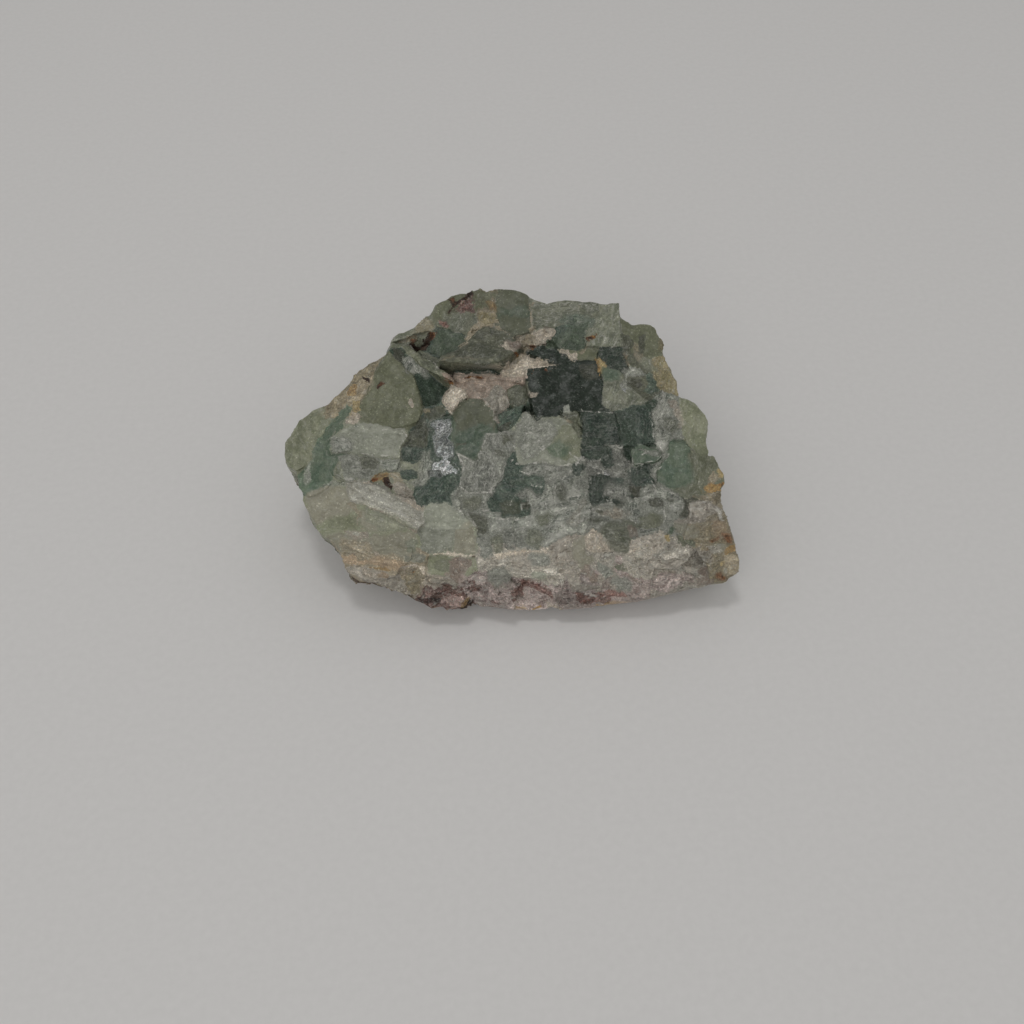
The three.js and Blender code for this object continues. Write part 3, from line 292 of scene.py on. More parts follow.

# Patches of colour on the face, where a viewer in front sees them. Later ones lie over earlier ones.
# A painted glint
# A painted glint
# A painted highlight along the cream bar
# Painted lighter to make up for the shade in the hollow: dark_cleft's dusk patch
# Painted lighter to make up for the shade in the hollow: dark_cleft's dusk patch
# Painted lighter to make up for the shade in the hollow: small_dark's dusk patch
# Painted shadow: the black night patch below the lower right edge of big_dark
# The glinting crystal's painted sheen and painted glints of the lamp
# Under the shelf: this dusk painted lighter against the shade, the night strip below painted shade
FACE_PATCHES = read_table(Patch, """
moss 1 0.06 1: -193,97 -173,80 -154,62 -143,40 -139,16 -137,0 -142,-18 -152,-31 -186,-31 -215,-23 -236,-20
 -233,0 -220,36 -210,62;
teal 1.25 0.5 0.9: -326,-115 -314,-113 -306,-130 -310,-144 -322,-138;
frosted 1.19 0.6 0.7: -320,-96 -310,-80 -308,-105 -316,-124 -322,-113;
frosted 1.12 0.5 0.7: -280,-120 -240,-116 -246,-126 -276,-132 -303,-132;
tan 1 0.5 0.9: -294,12 -278,10 -278,-9 -293,-6;
beige 1.05 0.5 0.8: -256,30 -236,48 -214,66 -218,40 -231,14 -256,14;
ochre 0.9 0.4 0.75: -256,26 -246,46 -238,42 -240,26;
cream 0.98 0.2 1: -262,-20 -248,-8 -239,-18 -250,-23;
umber 1 0.2 1: -231,54 -222,54 -222,49 -230,49;
moss 1.18 0.7 0.6: -275,-174 -240,-178 -223,-196 -255,-196;
cream 0.94 0.5 0.7: -248,-206 -228,-200 -204,-208 -208,-220 -236,-220;
umber 2 0.15 1: -210,44 -202,47 -195,44 -201,41 -208,39;
rust 1 0.15 1: -209,43 -200,46 -194,43 -202,42;
cream 0.9 0.2 1: -156,18 -152,19 -147,6 -153,2 -158,9;
frosted 1.03 0.5 0.6: -145,68 -130,64 -122,56 -136,54;
umber 1 0.3 1: -161,117 -142,114 -128,134 -118,138 -126,120 -130,103 -141,101 -150,108;
beige 0.9 0.4 0.8: -172,122 -157,132 -149,130 -154,119 -166,118;
tan 1 0.8 0.7: -150,153 -120,160 -118,139 -134,134 -154,138;
grey_green 0.79 0.6 0.9: -96,144 -90,170 -72,173 -62,160 -66,136 -84,136;
moss 1 0.6 0.9: -118,170 -102,192 -94,194 -98,168 -116,146;
purple 1 0.4 0.95: -84,174 -76,187 -62,194 -54,186 -60,172 -70,170;
umber 1.68 0.35 0.9: -94,168 -80,186 -88,196 -96,192 -86,182 -94,173;
umber 1.22 0.3 0.9: -64,210 -54,213 -51,200 -56,194 -60,202;
purple 0.77 0.4 0.8: -68,204 -52,204 -52,188 -66,190;
moss 0.86 0.5 0.9: -50,214 -32,212 -10,210 -12,196 -20,198 -30,176 -46,178;
ochre 0.64 0.5 0.6: -32,192 -12,190 -14,176 -30,176;
beige 1.01 0.5 0.9: -49,170 -22,172 -12,162 -10,152 -24,148 -42,150;
beige 1.06 0.35 0.85: -86,104 -72,118 -62,128 -58,144 -48,152 -24,150 -4,139 9,129 -9,136 -25,141 -44,138
 -53,126 -64,113 -78,102;
beige 0.9 0.4 0.9: 10,126 32,130 46,130 45,112 33,98 26,78 12,76 12,88 26,98 24,116;
taupe 1.01 0.4 0.8: -8,112 2,119 18,116 24,104 12,94 0,96;
rust 0.72 0.2 0.9: 10,92 20,93 18,88 12,87;
rust 0.88 0.3 0.8: 35,112 46,110 44,104 36,106;
grey_green 0.77 0.7 0.7: 46,144 48,172 110,164 140,158 136,140 90,146;
deep_teal 1.63 0.7 0.7: 90,152 120,164 146,154 136,138 96,140;
tan 0.62 0.4 0.8: -104,89 -60,87 -24,82 -46,78 -96,79;
frosted 0.8 0.3 0.8: -56,77 -30,76 -30,71 -54,72;
rust 1.25 0.2 1: 39,53 46,65 45,57 42,50;
rust 1.04 0.2 1: 60,66 66,65 66,59 61,60;
cream 1 0.3 0.8: -28,48 -19,49 -17,36 -26,38;
dusk 1.29 0.25 1: -5,30 2,40 16,49 34,40 34,16 30,4 14,-4 0,4;
cream 0.78 0.3 0.8: 34,20 48,21 46,16 36,15;
dusk 0.82 0.8 0.9: -144,-16 -126,-10 -120,-40 -132,-68 -169,-68 -158,-46;
deep_teal 1.04 0.2 1: -170,-72 -168,-88 -158,-94 -139,-93 -137,-74 -146,-70 -156,-67;
frosted 1.21 0.5 0.8: -138,-72 -124,-66 -116,-90 -119,-116 -132,-130 -146,-132 -154,-124 -138,-116 -140,-96;
frosted 1.29 0.3 0.9: -80,-130 -74,-140 -50,-143 -30,-146 -30,-152 -70,-154 -88,-164 -90,-144;
frosted 0.82 0.4 0.7: 14,-149 30,-140 48,-149 36,-159 18,-158;
dusk 1.15 0.6 0.6: 78,-152 92,-154 90,-162 78,-160;
dusk 2.09 0.3 0.95: 84,-13 118,-12 122,-26 116,-50 120,-66 112,-56 104,-36 100,-20;
frosted 0.54 0.4 0.8: 162,-105 184,-102 182,-122 164,-124;
deep_teal 0.75 0.3 0.95: 185,-134 200,-138 200,-158 186,-152;
dusk 0.75 0.25 0.95: 266,-159 296,-159 279,-169 273,-188 262,-192 258,-186 266,-174;
cream 0.69 0.6 0.7: 138,-168 170,-172 186,-184 160,-194 136,-184;
cream 0.86 0.5 0.7: 264,0 274,-4 280,-24 274,-50 269,-30 260,-12;
dusk 1.06 0.5 0.6: 250,-20 268,-30 264,-58 248,-50;
rust 1.55 0.6 0.5: 306,-214 326,-208 336,-220 336,-240 306,-234;
ochre 0.93 0.2 1: 142,80 151,81 162,66 160,58 152,62 149,49 147,64;
rust 1.1 0.25 0.9: 127,122 133,124 146,129 142,121 130,115;
umber 1.4 0.15 1: 132,122 138,124 138,119 133,119;
beige 0.86 0.3 0.8: 117,94 123,106 130,114 128,102 122,88;
deep_teal 1.3 0.4 0.9: 218,52 228,58 238,46 243,26 234,16 214,22 220,36;
beige 0.8 0.5 0.7: 204,106 212,104 224,84 220,74 208,86;
dusk 1 0.4 0.8: 212,124 224,122 224,96 214,98;
golden 0.7 0.4 0.8: 244,90 250,94 258,109 248,114;
# The middle
dusk 1.14 0.3 0.9: -134,-2 -120,3 -102,10 -98,-6 -100,-14 -120,-22 -134,-20;
tan 0.87 0.2 0.9: -134,-3 -125,-2 -123,-6 -132,-9;
sheen 1.12 0.35 1: -117,-20 -94,-18 -90,-30 -89,-50 -84,-60 -82,-68 -86,-80 -94,-88 -110,-88 -117,-72
 -117,-54 -116,-40 -122,-30;
sheen 0.86 0.5 0.7: -124,-90 -90,-86 -88,-110 -104,-126 -122,-116;
glint 1.07 0.35 1: -120,-92 -110,-88 -102,-86 -96,-74 -92,-76 -94,-90 -86,-100 -82,-108 -90,-106 -96,-116
 -104,-114 -108,-106 -118,-104 -124,-99;
glint 0.64 0.4 0.7: -114,-24 -100,-22 -96,-36 -104,-50 -114,-42;
leaf 0.97 0.12 1: -60,24 -48,26 -38,22 -32,12 -28,0 -24,-10 -21,-20 -20,-30 -20,-44 -32,-46 -36,-56 -40,-66
 -42,-74 -45,-80 -46,-88 -54,-91 -60,-90 -66,-82 -72,-78 -80,-76 -82,-68 -83,-60 -87,-50 -84,-44 -82,-40
 -83,-30 -88,-20 -90,-10 -84,0 -79,10 -70,19;
teal 0.76 0.6 1: -82,-40 -65,-36 -50,-24 -30,-30 -21,-42 -32,-47 -36,-56 -40,-66 -45,-80 -46,-88 -54,-91
 -60,-90 -66,-82 -72,-78 -80,-76 -83,-60 -87,-50;
dusk 1.26 0.1 0.9: -80,-58 -65,-57 -66,-61 -78,-63;
cream 1.24 0.12 1: -90,33 -82,34 -72,32 -66,30 -60,19 -70,14 -78,6 -84,0 -90,-9 -94,-9 -95,0 -100,10 -100,21
 -96,28;
sugar 0.92 0.15 1: -38,16 -32,20 -20,28 0,30 1,16 0,2 -8,-4 -17,-12 -18,-20 -15,-26 -21,-24 -22,-16 -26,-6
 -30,4 -36,12;
deep_teal 1.48 0.1 1: -16,-13 0,-1 20,4 26,4 22,-16 10,-32 0,-44 -16,-44 -18,-30 -15,-26;
dusk 0.8 0.3 0.8: -14,-32 4,-28 2,-44 -16,-44;
mist 1.07 0.15 1: -32,-47 -2,-45 12,-40 12,-64 8,-74 -2,-86 -6,-100 -6,-110 -13,-120 -14,-130 -22,-140
 -30,-147 -50,-142 -66,-144 -77,-134 -72,-120 -72,-110 -70,-100 -75,-84 -79,-75 -72,-78 -64,-84 -56,-92
 -46,-88 -42,-74 -36,-56;
mist 0.84 0.4 0.8: -64,-104 -16,-104 -20,-126 -30,-136 -64,-134;
dusk 1.12 0.25 0.9: -8,-51 9,-51 7,-59 -7,-63;
dusk 0.97 0.2 0.7: -24,-74 -10,-76 0,-82 -12,-86 -22,-82;
# To the right of the middle
pale_green 1.37 0.12 1: 10,-40 18,-24 26,-10 34,-9 41,-19 48,-26 56,-20 70,-17 84,-19 92,-26 100,-36 106,-48
 113,-56 115,-70 116,-84 108,-92 94,-98 50,-98 16,-99 10,-80 12,-60;
olive 1.01 0.4 0.9: 80,-42 76,-48 66,-63 58,-75 70,-83 90,-92 108,-88 114,-78 114,-60 108,-50 100,-36
 88,-30;
teal 1.04 0.7 0.8: 60,-74 80,-60 96,-70 94,-86 74,-86;
mist 1.83 0.3 0.9: 89,0 96,0 99,-14 110,-14 112,-20 96,-24 86,-16;
beige 0.98 0.15 1: 91,-21 99,-27 101,-33 96,-31;
night 0.93 0.3 0.95: 112,-6 148,4 164,-6 168,-10 123,-14 120,-44 115,-48 113,-26;
dusk 2.02 0.4 0.8: 100,-20 112,-22 114,-48 108,-46 100,-34;
deep_teal 0.73 0.12 1: 122,-15 170,-9 200,-5 200,-35 192,-52 182,-69 152,-69 162,-77 164,-93 143,-93 116,-92
 115,-70 116,-54 120,-34;
deep_teal 0.73 0.5 0.9: 126,-14 166,-12 164,-26 140,-30 126,-36;
night 1.71 0.25 0.9: 180,-6 200,-5 200,-35 192,-52 208,-69 192,-76 192,-96 184,-98 176,-83 182,-69 180,-40;
deep_teal 0.99 0.25 0.95: 200,-10 224,-6 229,-50 230,-64 208,-68 194,-50 200,-34;
deep_teal 0.67 0.2 1: 143,-93 164,-92 165,-104 154,-109 144,-103;
mist 0.75 0.12 1: 152,-69 182,-69 175,-79 177,-90 188,-102 180,-110 164,-108 165,-90 161,-76;
mist 0.67 0.2 1: 117,-94 142,-95 146,-106 160,-110 164,-120 152,-122 124,-116 118,-106;
glint 0.58 0.2 0.9: 151,-114 159,-116 157,-122 150,-120;
deep_teal 0.82 0.35 0.9: 102,-98 114,-98 118,-108 110,-120 100,-114;
deep_teal 0.71 0.25 1: 189,-106 210,-104 228,-104 224,-118 208,-136 198,-138 192,-124;
mist 0.66 0.6 0.7: 154,-130 186,-120 194,-140 184,-156 156,-152;
# The right side
teal 0.87 0.3 1: 194,-76 208,-69 230,-75 239,-90 224,-97 195,-96;
frosted 0.83 0.4 0.8: 204,-80 226,-78 236,-88 214,-90;
frosted 1.39 0.15 1: 228,-64 244,-69 250,-74 250,-90 244,-88 238,-78 229,-74;
night 1.73 0.3 0.9: 218,2 228,7 240,2 230,-8 222,-8;
olive 1.15 0.2 0.9: 272,10 288,8 304,-4 318,-20 319,-34 313,-50 312,-90 298,-90 288,-74 276,-54 280,-30
 272,-14;
cream 0.67 0.4 0.8: 253,8 268,6 274,-6 276,-22 266,-16 254,-4;
teal 0.95 0.35 1: 267,-63 276,-70 284,-86 286,-110 282,-132 270,-144 244,-140 234,-126 240,-106 250,-90
 252,-76;
olive 0.69 0.5 0.9: 280,-80 300,-92 314,-94 324,-104 306,-122 296,-146 274,-154 260,-146 280,-130 284,-106;
beige 1 0.3 0.9: 305,-125 320,-118 326,-130 318,-138 304,-139;
straw 1.16 0.2 1: 325,-116 332,-114 333,-128 326,-129;
ochre 1.05 0.25 1: 298,-139 310,-136 319,-140 316,-150 304,-150;
tan 0.61 0.3 0.8: 314,-150 324,-148 328,-160 318,-162;
# The left side
teal 0.98 0.25 1: -256,9 -247,5 -250,-6 -258,-16 -264,-22 -260,-29 -279,-39 -278,-50 -279,-64 -276,-76
 -264,-74 -248,-78 -264,-86 -270,-96 -274,-106 -280,-118 -300,-120 -308,-106 -310,-80 -300,-54 -288,-32
 -276,-14 -264,0;
olive 1.13 0.25 0.9: -304,-8 -289,-10 -278,-12 -290,-30 -302,-50 -312,-76 -320,-70;
cream 0.9 0.12 1: -262,-23 -248,-14 -245,0 -237,2 -235,-18 -248,-25;
straw 0.95 0.25 0.9: -245,13 -235,15 -234,0 -244,0;
pale_green 1.36 0.15 1: -258,-30 -234,-20 -215,-22 -185,-31 -161,-30 -159,-48 -170,-66 -174,-78 -200,-78
 -240,-73 -276,-68 -278,-46;
frosted 1.03 0.5 0.9: -280,-43 -256,-44 -244,-60 -250,-72 -276,-69;
frosted 1.39 0.15 1: -248,-23 -238,-24 -237,-30 -246,-31;
mist 1.18 0.3 0.9: -270,-79 -240,-75 -202,-79 -200,-104 -214,-118 -240,-117 -260,-102;
dusk 1.18 0.35 0.9: -235,-80 -208,-79 -202,-90 -206,-100 -224,-98;
frosted 1.26 0.2 0.9: -200,-82 -173,-82 -169,-96 -172,-106 -188,-106 -200,-98;
ochre 0.75 0.25 0.9: -211,-112 -202,-107 -189,-110 -185,-119 -198,-123 -208,-120;
rust 1.81 0.15 1: -212,-116 -202,-115 -202,-121 -210,-122;
umber 1.69 0.12 1: -195,-118 -186,-119 -181,-132 -184,-138 -194,-128;
beige 1.14 0.3 0.8: -185,-110 -170,-108 -160,-128 -160,-146 -176,-140;
frosted 1.28 0.2 0.8: -262,-103 -256,-103 -244,-114 -230,-121 -244,-121 -256,-112;
# The back, left of the middle
umber 1.3 0.15 1: -160,116 -152,118 -146,114 -133,116 -131,124 -123,132 -120,128 -125,120 -129,116 -128,101
 -138,99 -150,110;
rust 1.38 0.25 0.9: -126,136 -117,136 -116,128 -124,126;
tan 0.95 0.3 0.9: -162,133 -148,132 -144,122 -158,120;
rust 1 0.15 0.9: -156,126 -148,125 -150,120 -156,120;
umber 1.22 0.2 1: -94,170 -86,178 -76,186 -66,190 -60,194 -54,204 -52,212 -61,210 -66,200 -74,192 -86,184
 -94,174;
purple 0.91 0.3 1: -81,176 -70,184 -60,188 -52,184 -51,170 -66,172 -76,170;
purple 1.58 0.25 0.9: -108,157 -96,158 -93,146 -100,142 -104,148;
rust 0.68 0.2 0.9: -92,197 -84,198 -84,190 -90,188;
bottle 1.06 0.35 1: -120,120 -117,130 -108,141 -92,139 -75,132 -67,126 -67,116 -75,110 -81,103 -100,95
 -119,97;
golden 0.98 0.35 0.9: -48,168 -30,170 -19,164 -20,150 -34,146 -44,152;
dusk 1.06 0.25 1: -58,108 -48,130 -30,140 -8,132 16,122 6,120 -9,116 -10,104 4,90 2,86 -20,84 -50,88 -98,89
 -94,95 -78,100;
dusk 1.51 0.35 0.8: -98,87 -50,85 -10,84 -6,76 -50,77 -90,74;
dusk 2 0.2 0.9: -92,75 -50,76 -8,75 -8,67 -50,66 -90,67;
night 1.6 0.15 1: -90,68 -54,66 -30,67 -8,67 -12,59 -50,60 -76,62;
frosted 0.75 0.2 0.8: -52,76 -30,76 -34,70 -50,70;
blush 1.25 0.15 1: -108,64 -96,62 -50,59 -8,59 34,52 36,46 20,49 -30,51 -70,50 -72,40 -78,34 -86,42 -98,52;
rust 1.19 0.1 1: -69,56 -56,56 -33,55 -34,52.5 -66,52.5;
rust 1.61 0.15 1: -98,50 -92,48 -83,41 -86,38 -96,44;
dusk 0.69 0.25 0.9: -185,112 -174,110 -164,96 -167,77 -178,88 -185,98;
frosted 1.09 0.4 0.9: -170,96 -158,94 -148,80 -130,74 -126,66 -146,64 -152,62 -166,74;
dusk 1.6 0.2 0.9: -166,117 -148,106 -120,94 -96,74 -90,64 -106,60 -124,78 -150,100;
# The back, in the middle
leaf 0.98 0.3 1: -17,166 -12,196 2,214 20,212 41,198 41,144 38,133 14,130 -6,144;
teal 0.72 0.6 0.7: -14,164 -8,182 38,178 38,160;
beige 0.93 0.1 1: 40.5,186 43.5,186 42,154 42,134 38,134 39,155;
beige 0.86 0.1 0.9: 45,189 48,189 47,172 45,172;
cream 0.83 0.35 1: 47,126 52,134 66,140 83,139 80,128 69,122 62,110 49,110;
cream 0.95 0.25 1: -9,110 0,115 5,108 8,96 2,95 -8,102;
taupe 0.84 0.25 1: 5,118 20,120 25,110 20,103 8,102;
rust 1.03 0.15 1: 14,93 21,94 20,88 15,88;
rust 0.97 0.25 0.9: 37,110 46,108 45,101 38,101;
bottle 1.09 0.3 1: 62,116 70,118 82,122 99,137 116,145 137,151 135,139 124,122 128,116 126,105 116,95 99,97
 83,101 74,103 62,103;
night 0.97 0.12 1: 37,95 41,103 49,106 62,106 68,103 83,99 93,91 103,78 116,76 116,70 83,70 70,74 53,87
 39,91;
cream 1.03 0.1 1: 82,100 95,99 99,101 103,91 105,97 113,95 112,78 103,80 95,91;
cream 1.18 0.12 1: -6,58 -5,74 3,80 10,72 20,78 30,87 41,82 53,84 66,80 70,74 80,69 53,66 39,64 33,60 33,51
 16,55;
dusk 0.62 0.5 0.7: 116,74 144,74 146,46 130,44 118,60;
straw 1.08 0.15 1: 146,80 151,81 156,72 162,64 161,57 156,62 152,49 150,62;
# The back, on the right
dusk 0.95 0.35 0.9: 186,122 198,124 203,110 200,86 189,90;
dusk 0.9 0.3 0.9: 211,120 220,120 222,90 214,88;
deep_teal 0.65 0.2 1: 160,100 188,102 188,83 197,65 190,52 172,58 163,65 157,75 151,83 150,94;
beige 0.65 0.25 0.9: 190,90 198,88 200,74 199,66 193,72;
teal 0.98 0.5 0.9: 151,56 156,62 163,64 186,54 176,44 154,40;
frosted 1.1 0.3 0.9: 184,60 204,66 220,54 218,46 200,48 188,42 178,34 182,22 196,30 190,44;
glint 0.62 0.2 0.9: 182,26 188,29 190,22 184,20;
dusk 0.75 0.12 1: 190,36 200,43 214,42 218,32 206,28;
grey_green 1 0.5 0.8: 220,84 234,82 244,64 242,54 228,60 218,70;
golden 0.6 0.25 0.8: 248,90 253,94 257,109 250,110;
# The front, on the left
sand 1.11 0.6 1: -314,-136 -296,-129 -276,-129 -250,-134 -250,-152 -244,-162 -230,-172 -246,-176 -280,-178
 -296,-192 -309,-180 -316,-156;
moss 1.2 0.5 0.4: -280,-179 -254,-177 -230,-180 -224,-190 -236,-199 -260,-200 -280,-194;
sand 1.06 0.5 1: -228,-170 -206,-172 -180,-184 -160,-196 -142,-206 -136,-224 -140,-248 -170,-252 -194,-248
 -198,-228 -220,-204 -230,-190;
beige 0.92 0.5 0.9: -266,-206 -252,-204 -248,-218 -230,-220 -214,-210 -198,-214 -194,-246 -220,-254
 -260,-250;
beige 0.95 0.2 0.7: -246,-156 -234,-166 -229,-176 -231,-190 -221,-204 -225,-206 -235,-190 -235,-178
 -242,-169 -250,-160;
cream 0.75 0.4 0.9: -252,-208 -242,-205 -230,-209 -230,-216 -240,-219 -250,-216;
bright 0.88 0.12 1: -250,-121 -220,-120 -199,-127 -180,-142 -165,-156 -146,-168 -130,-174 -130,-200
 -146,-200 -160,-188 -184,-174 -204,-164 -224,-159 -244,-153 -250,-142;
bright 1.4 0.12 1: -248,-144 -238,-150 -220,-153 -200,-162 -180,-172 -160,-184 -146,-196 -152,-197 -174,-180
 -204,-165 -224,-160 -242,-157;
greige 1.08 0.3 0.9: -183,-128 -170,-124 -154,-130 -149,-144 -147,-160 -160,-154 -176,-142;
deep_teal 1.21 0.12 1: -170,-104 -154,-102 -141,-106 -140,-117 -154,-119 -168,-114;
grey_green 1.22 0.3 0.75: -225,-165 -194,-169 -163,-186 -141,-202 -135,-225 -150,-234 -174,-227 -193,-217
 -206,-191 -221,-188;
cream 0.82 0.5 0.6: -251,-209 -230,-204 -202,-214 -193,-233 -220,-239 -248,-232;
# The front, in the middle
deep_teal 1.18 0.1 1: -127,-120 -125,-130 -128,-140 -136,-135 -141,-146 -145,-153 -145,-160 -132,-168
 -128,-160 -116,-157 -102,-161 -91,-160 -89,-151 -91,-142 -80,-133 -75,-120 -72,-110 -88,-110 -106,-120
 -118,-116;
pale_green 1.66 0.12 1: -129,-170 -120,-160 -103,-162 -86,-164 -75,-172 -64,-185 -52,-208 -45,-221 -34,-228
 -32,-249 -130,-240 -132,-224 -133,-178;
sand 1.27 0.5 0.9: -84,-205 -66,-194 -56,-206 -50,-224 -44,-246 -80,-246;
mist 1.43 0.5 0.79: -89,-146 -74,-142 -54,-146 -52,-154 -72,-154 -72,-170 -64,-178 -72,-182 -88,-166;
dusk 1.35 0.5 0.79: -73,-152 -56,-150 -43,-156 -44,-168 -58,-173 -70,-168;
dusk 0.94 0.5 0.88: -62,-178 -49,-180 -37,-184 -34,-200 -35,-220 -46,-222 -50,-210 -56,-196;
mist 1.17 0.5 0.79: -45,-162 -34,-160 -31,-170 -34,-179 -44,-177;
deep_teal 1.16 0.1 1: 0,-110 -5,-115 -14,-124 -16,-135 -23,-144 -27,-151 -36,-160 -32,-176 -16,-178 -14,-185
 -5,-188 14,-185 30,-178 32,-165 25,-162 20,-155 9,-158 7,-149 18,-144 30,-140 48,-153 52,-137 55,-124
 50,-115 32,-110 14,-102;
moss 0.53 0.5 0.7: -16,-160 4,-155 18,-160 16,-178 4,-186 -12,-183 -16,-174;
frosted 0.82 0.5 0.7: 10,-148 30,-140 48,-150 42,-157 20,-156;
dusk 0.72 0.15 0.9: 18,-162 28,-160 32,-168 26,-174 18,-172;
frosted 1.23 0.5 0.88: -30,-184 -14,-187 0,-189 20,-184 34,-178 42,-186 44,-200 30,-216 34,-234 0,-240
 -26,-238 -32,-210;
olive 0.7 0.8 0.8: 42,-178 60,-175 66,-184 62,-198 48,-199 41,-190;
olive 0.7 0.9 0.7: 26,-214 40,-207 56,-210 59,-222 46,-230 32,-234;
dusk 0.96 0.5 0.6: 73,-140 84,-134 90,-144 88,-156 78,-158;
# The front, on the right
bright 0.72 0.25 0.8: 84,-208 94,-186 108,-166 116,-156 120,-162 110,-180 100,-202 90,-212;
mist 1.01 0.5 0.79: 106,-124 114,-117 125,-120 123,-134 116,-142 109,-136;
deep_teal 0.66 0.15 1: 124,-124 138,-126 140,-144 138,-153 156,-154 154,-164 136,-168 125,-164 121,-144;
mist 0.75 0.5 0.84: 143,-142 160,-140 180,-142 180,-154 164,-158 146,-152;
dusk 0.72 0.15 0.7: 161,-158 174,-156 181,-159 178,-169 166,-169;
deep_teal 0.87 0.3 0.95: 150,-126 170,-124 181,-126 178,-138 156,-140;
deep_teal 0.71 0.15 1: 186,-141 200,-140 202,-158 190,-159;
deep_teal 0.71 0.15 1: 190,-112 204,-109 218,-114 214,-132 200,-138 190,-128;
mist 1.12 0.5 0.79: 136,-169 150,-165 160,-166 160,-178 148,-181 137,-178;
mist 1.2 0.5 0.88: 203,-146 220,-136 240,-140 260,-154 264,-170 256,-186 250,-204 230,-208 210,-196
 202,-170;
dusk 0.74 0.1 1: 297,-163 274,-160 268,-166 270,-178 261,-185 263,-194 273,-193 278,-174 284,-169 297,-164;
olive 0.67 0.5 0.79: 197,-186 216,-183 227,-190 224,-206 208,-210 198,-200;
dusk 0.9 0.5 0.79: 118,-192 130,-190 143,-192 140,-200 122,-201;
dusk 0.95 0.5 0.79: 136,-172 145,-172 145,-184 137,-184;
dusk 1.23 0.5 0.88: 140,-205 154,-196 180,-194 202,-200 200,-216 182,-226 176,-242 162,-246 150,-230
 138,-216;
taupe 0.75 0.5 0.6: 174,-209 190,-208 194,-218 178,-222;
greige 0.86 0.2 1: 276,-172 297,-163 310,-166 322,-178 330,-194 332,-206 314,-210 300,-222 280,-220 260,-210
 248,-204 260,-196 274,-192;
tan 0.87 0.8 0.7: 310,-208 326,-204 334,-212 328,-220 312,-218;
olive 0.62 0.5 0.84: 252,-144 270,-142 296,-148 297,-162 274,-160 262,-158;
tan 0.61 0.25 0.9: 313,-154 324,-153 326,-172 316,-176;
tan 0.92 0.2 0.9: 329,-186 335,-186 337,-200 330,-200;
# The front, far on the right
deep_teal 0.6 0.15 1: 124,-118 142,-116 161,-121 166,-131 150,-141 148,-152 165,-160 180,-165 164,-167
 147,-162 136,-164 124,-159;
frosted 0.68 0.5 0.8: 149,-135 166,-131 185,-134 188,-151 180,-161 163,-158 146,-150;
dusk 0.6 0.2 1: 187,-138 203,-141 204,-157 192,-158 186,-148;
frosted 1.06 0.5 0.9: 202,-145 218,-139 237,-145 256,-150 267,-163 264,-179 257,-191 246,-187 235,-178
 216,-178 201,-165;
dusk 0.68 0.2 0.9: 215,-161 227,-158 238,-164 235,-172 224,-175 216,-172;
dusk 0.76 0.2 0.8: 244,-160 252,-162 251,-168 244,-167;
olive 0.59 0.5 0.9: 212,-184 223,-182 235,-186 231,-207 233,-215 217,-218 209,-206;
teal 0.97 0.8 0.8: 239,-116 252,-89 271,-75 284,-105 287,-130 272,-140 245,-137;
olive 0.72 1 0.65: 280,-80 290,-105 289,-130 276,-142 295,-153 307,-137 310,-105;
greige 0.92 0.5 0.9: 280,-169 311,-164 323,-180 330,-201 309,-212 282,-216 262,-207 264,-199 276,-195;
tan 0.82 0.6 0.8: 299,-196 317,-192 327,-205 321,-217 298,-216;
ochre 1 0.2 1: 298,-141 307,-137 319,-138 330,-135 324,-147 310,-151 301,-147;
straw 1.2 0.15 1: 324,-120 329,-116 332,-127 327,-131;
# The pocket's ledge, and the pale crystals
blush 1.1 0.1 1: -72,49 -42,50 3,48 32,47 28,41 13,38 2,31 2,17 5,5 -8,-6 -16,-12 -16,-26 -20,-24 -23,-12
 -30,2 -38,15 -48,16 -60,17 -67,33;
sugar 0.92 0.3 1: -38,17 -28,29 -17,40 0,31 2,17 5,5 -8,-6 -16,-12 -16,-26 -20,-24 -23,-12 -30,2;
mist 1.2 0.5 0.8: 10,-37 24,-13 29,-9 46,-28 66,-20 79,-44 62,-70 44,-86 22,-93 13,-69;
mist 1.08 0.6 0.8: 15,-97 39,-97 66,-99 98,-100 87,-118 67,-131 48,-119 24,-113;
""")
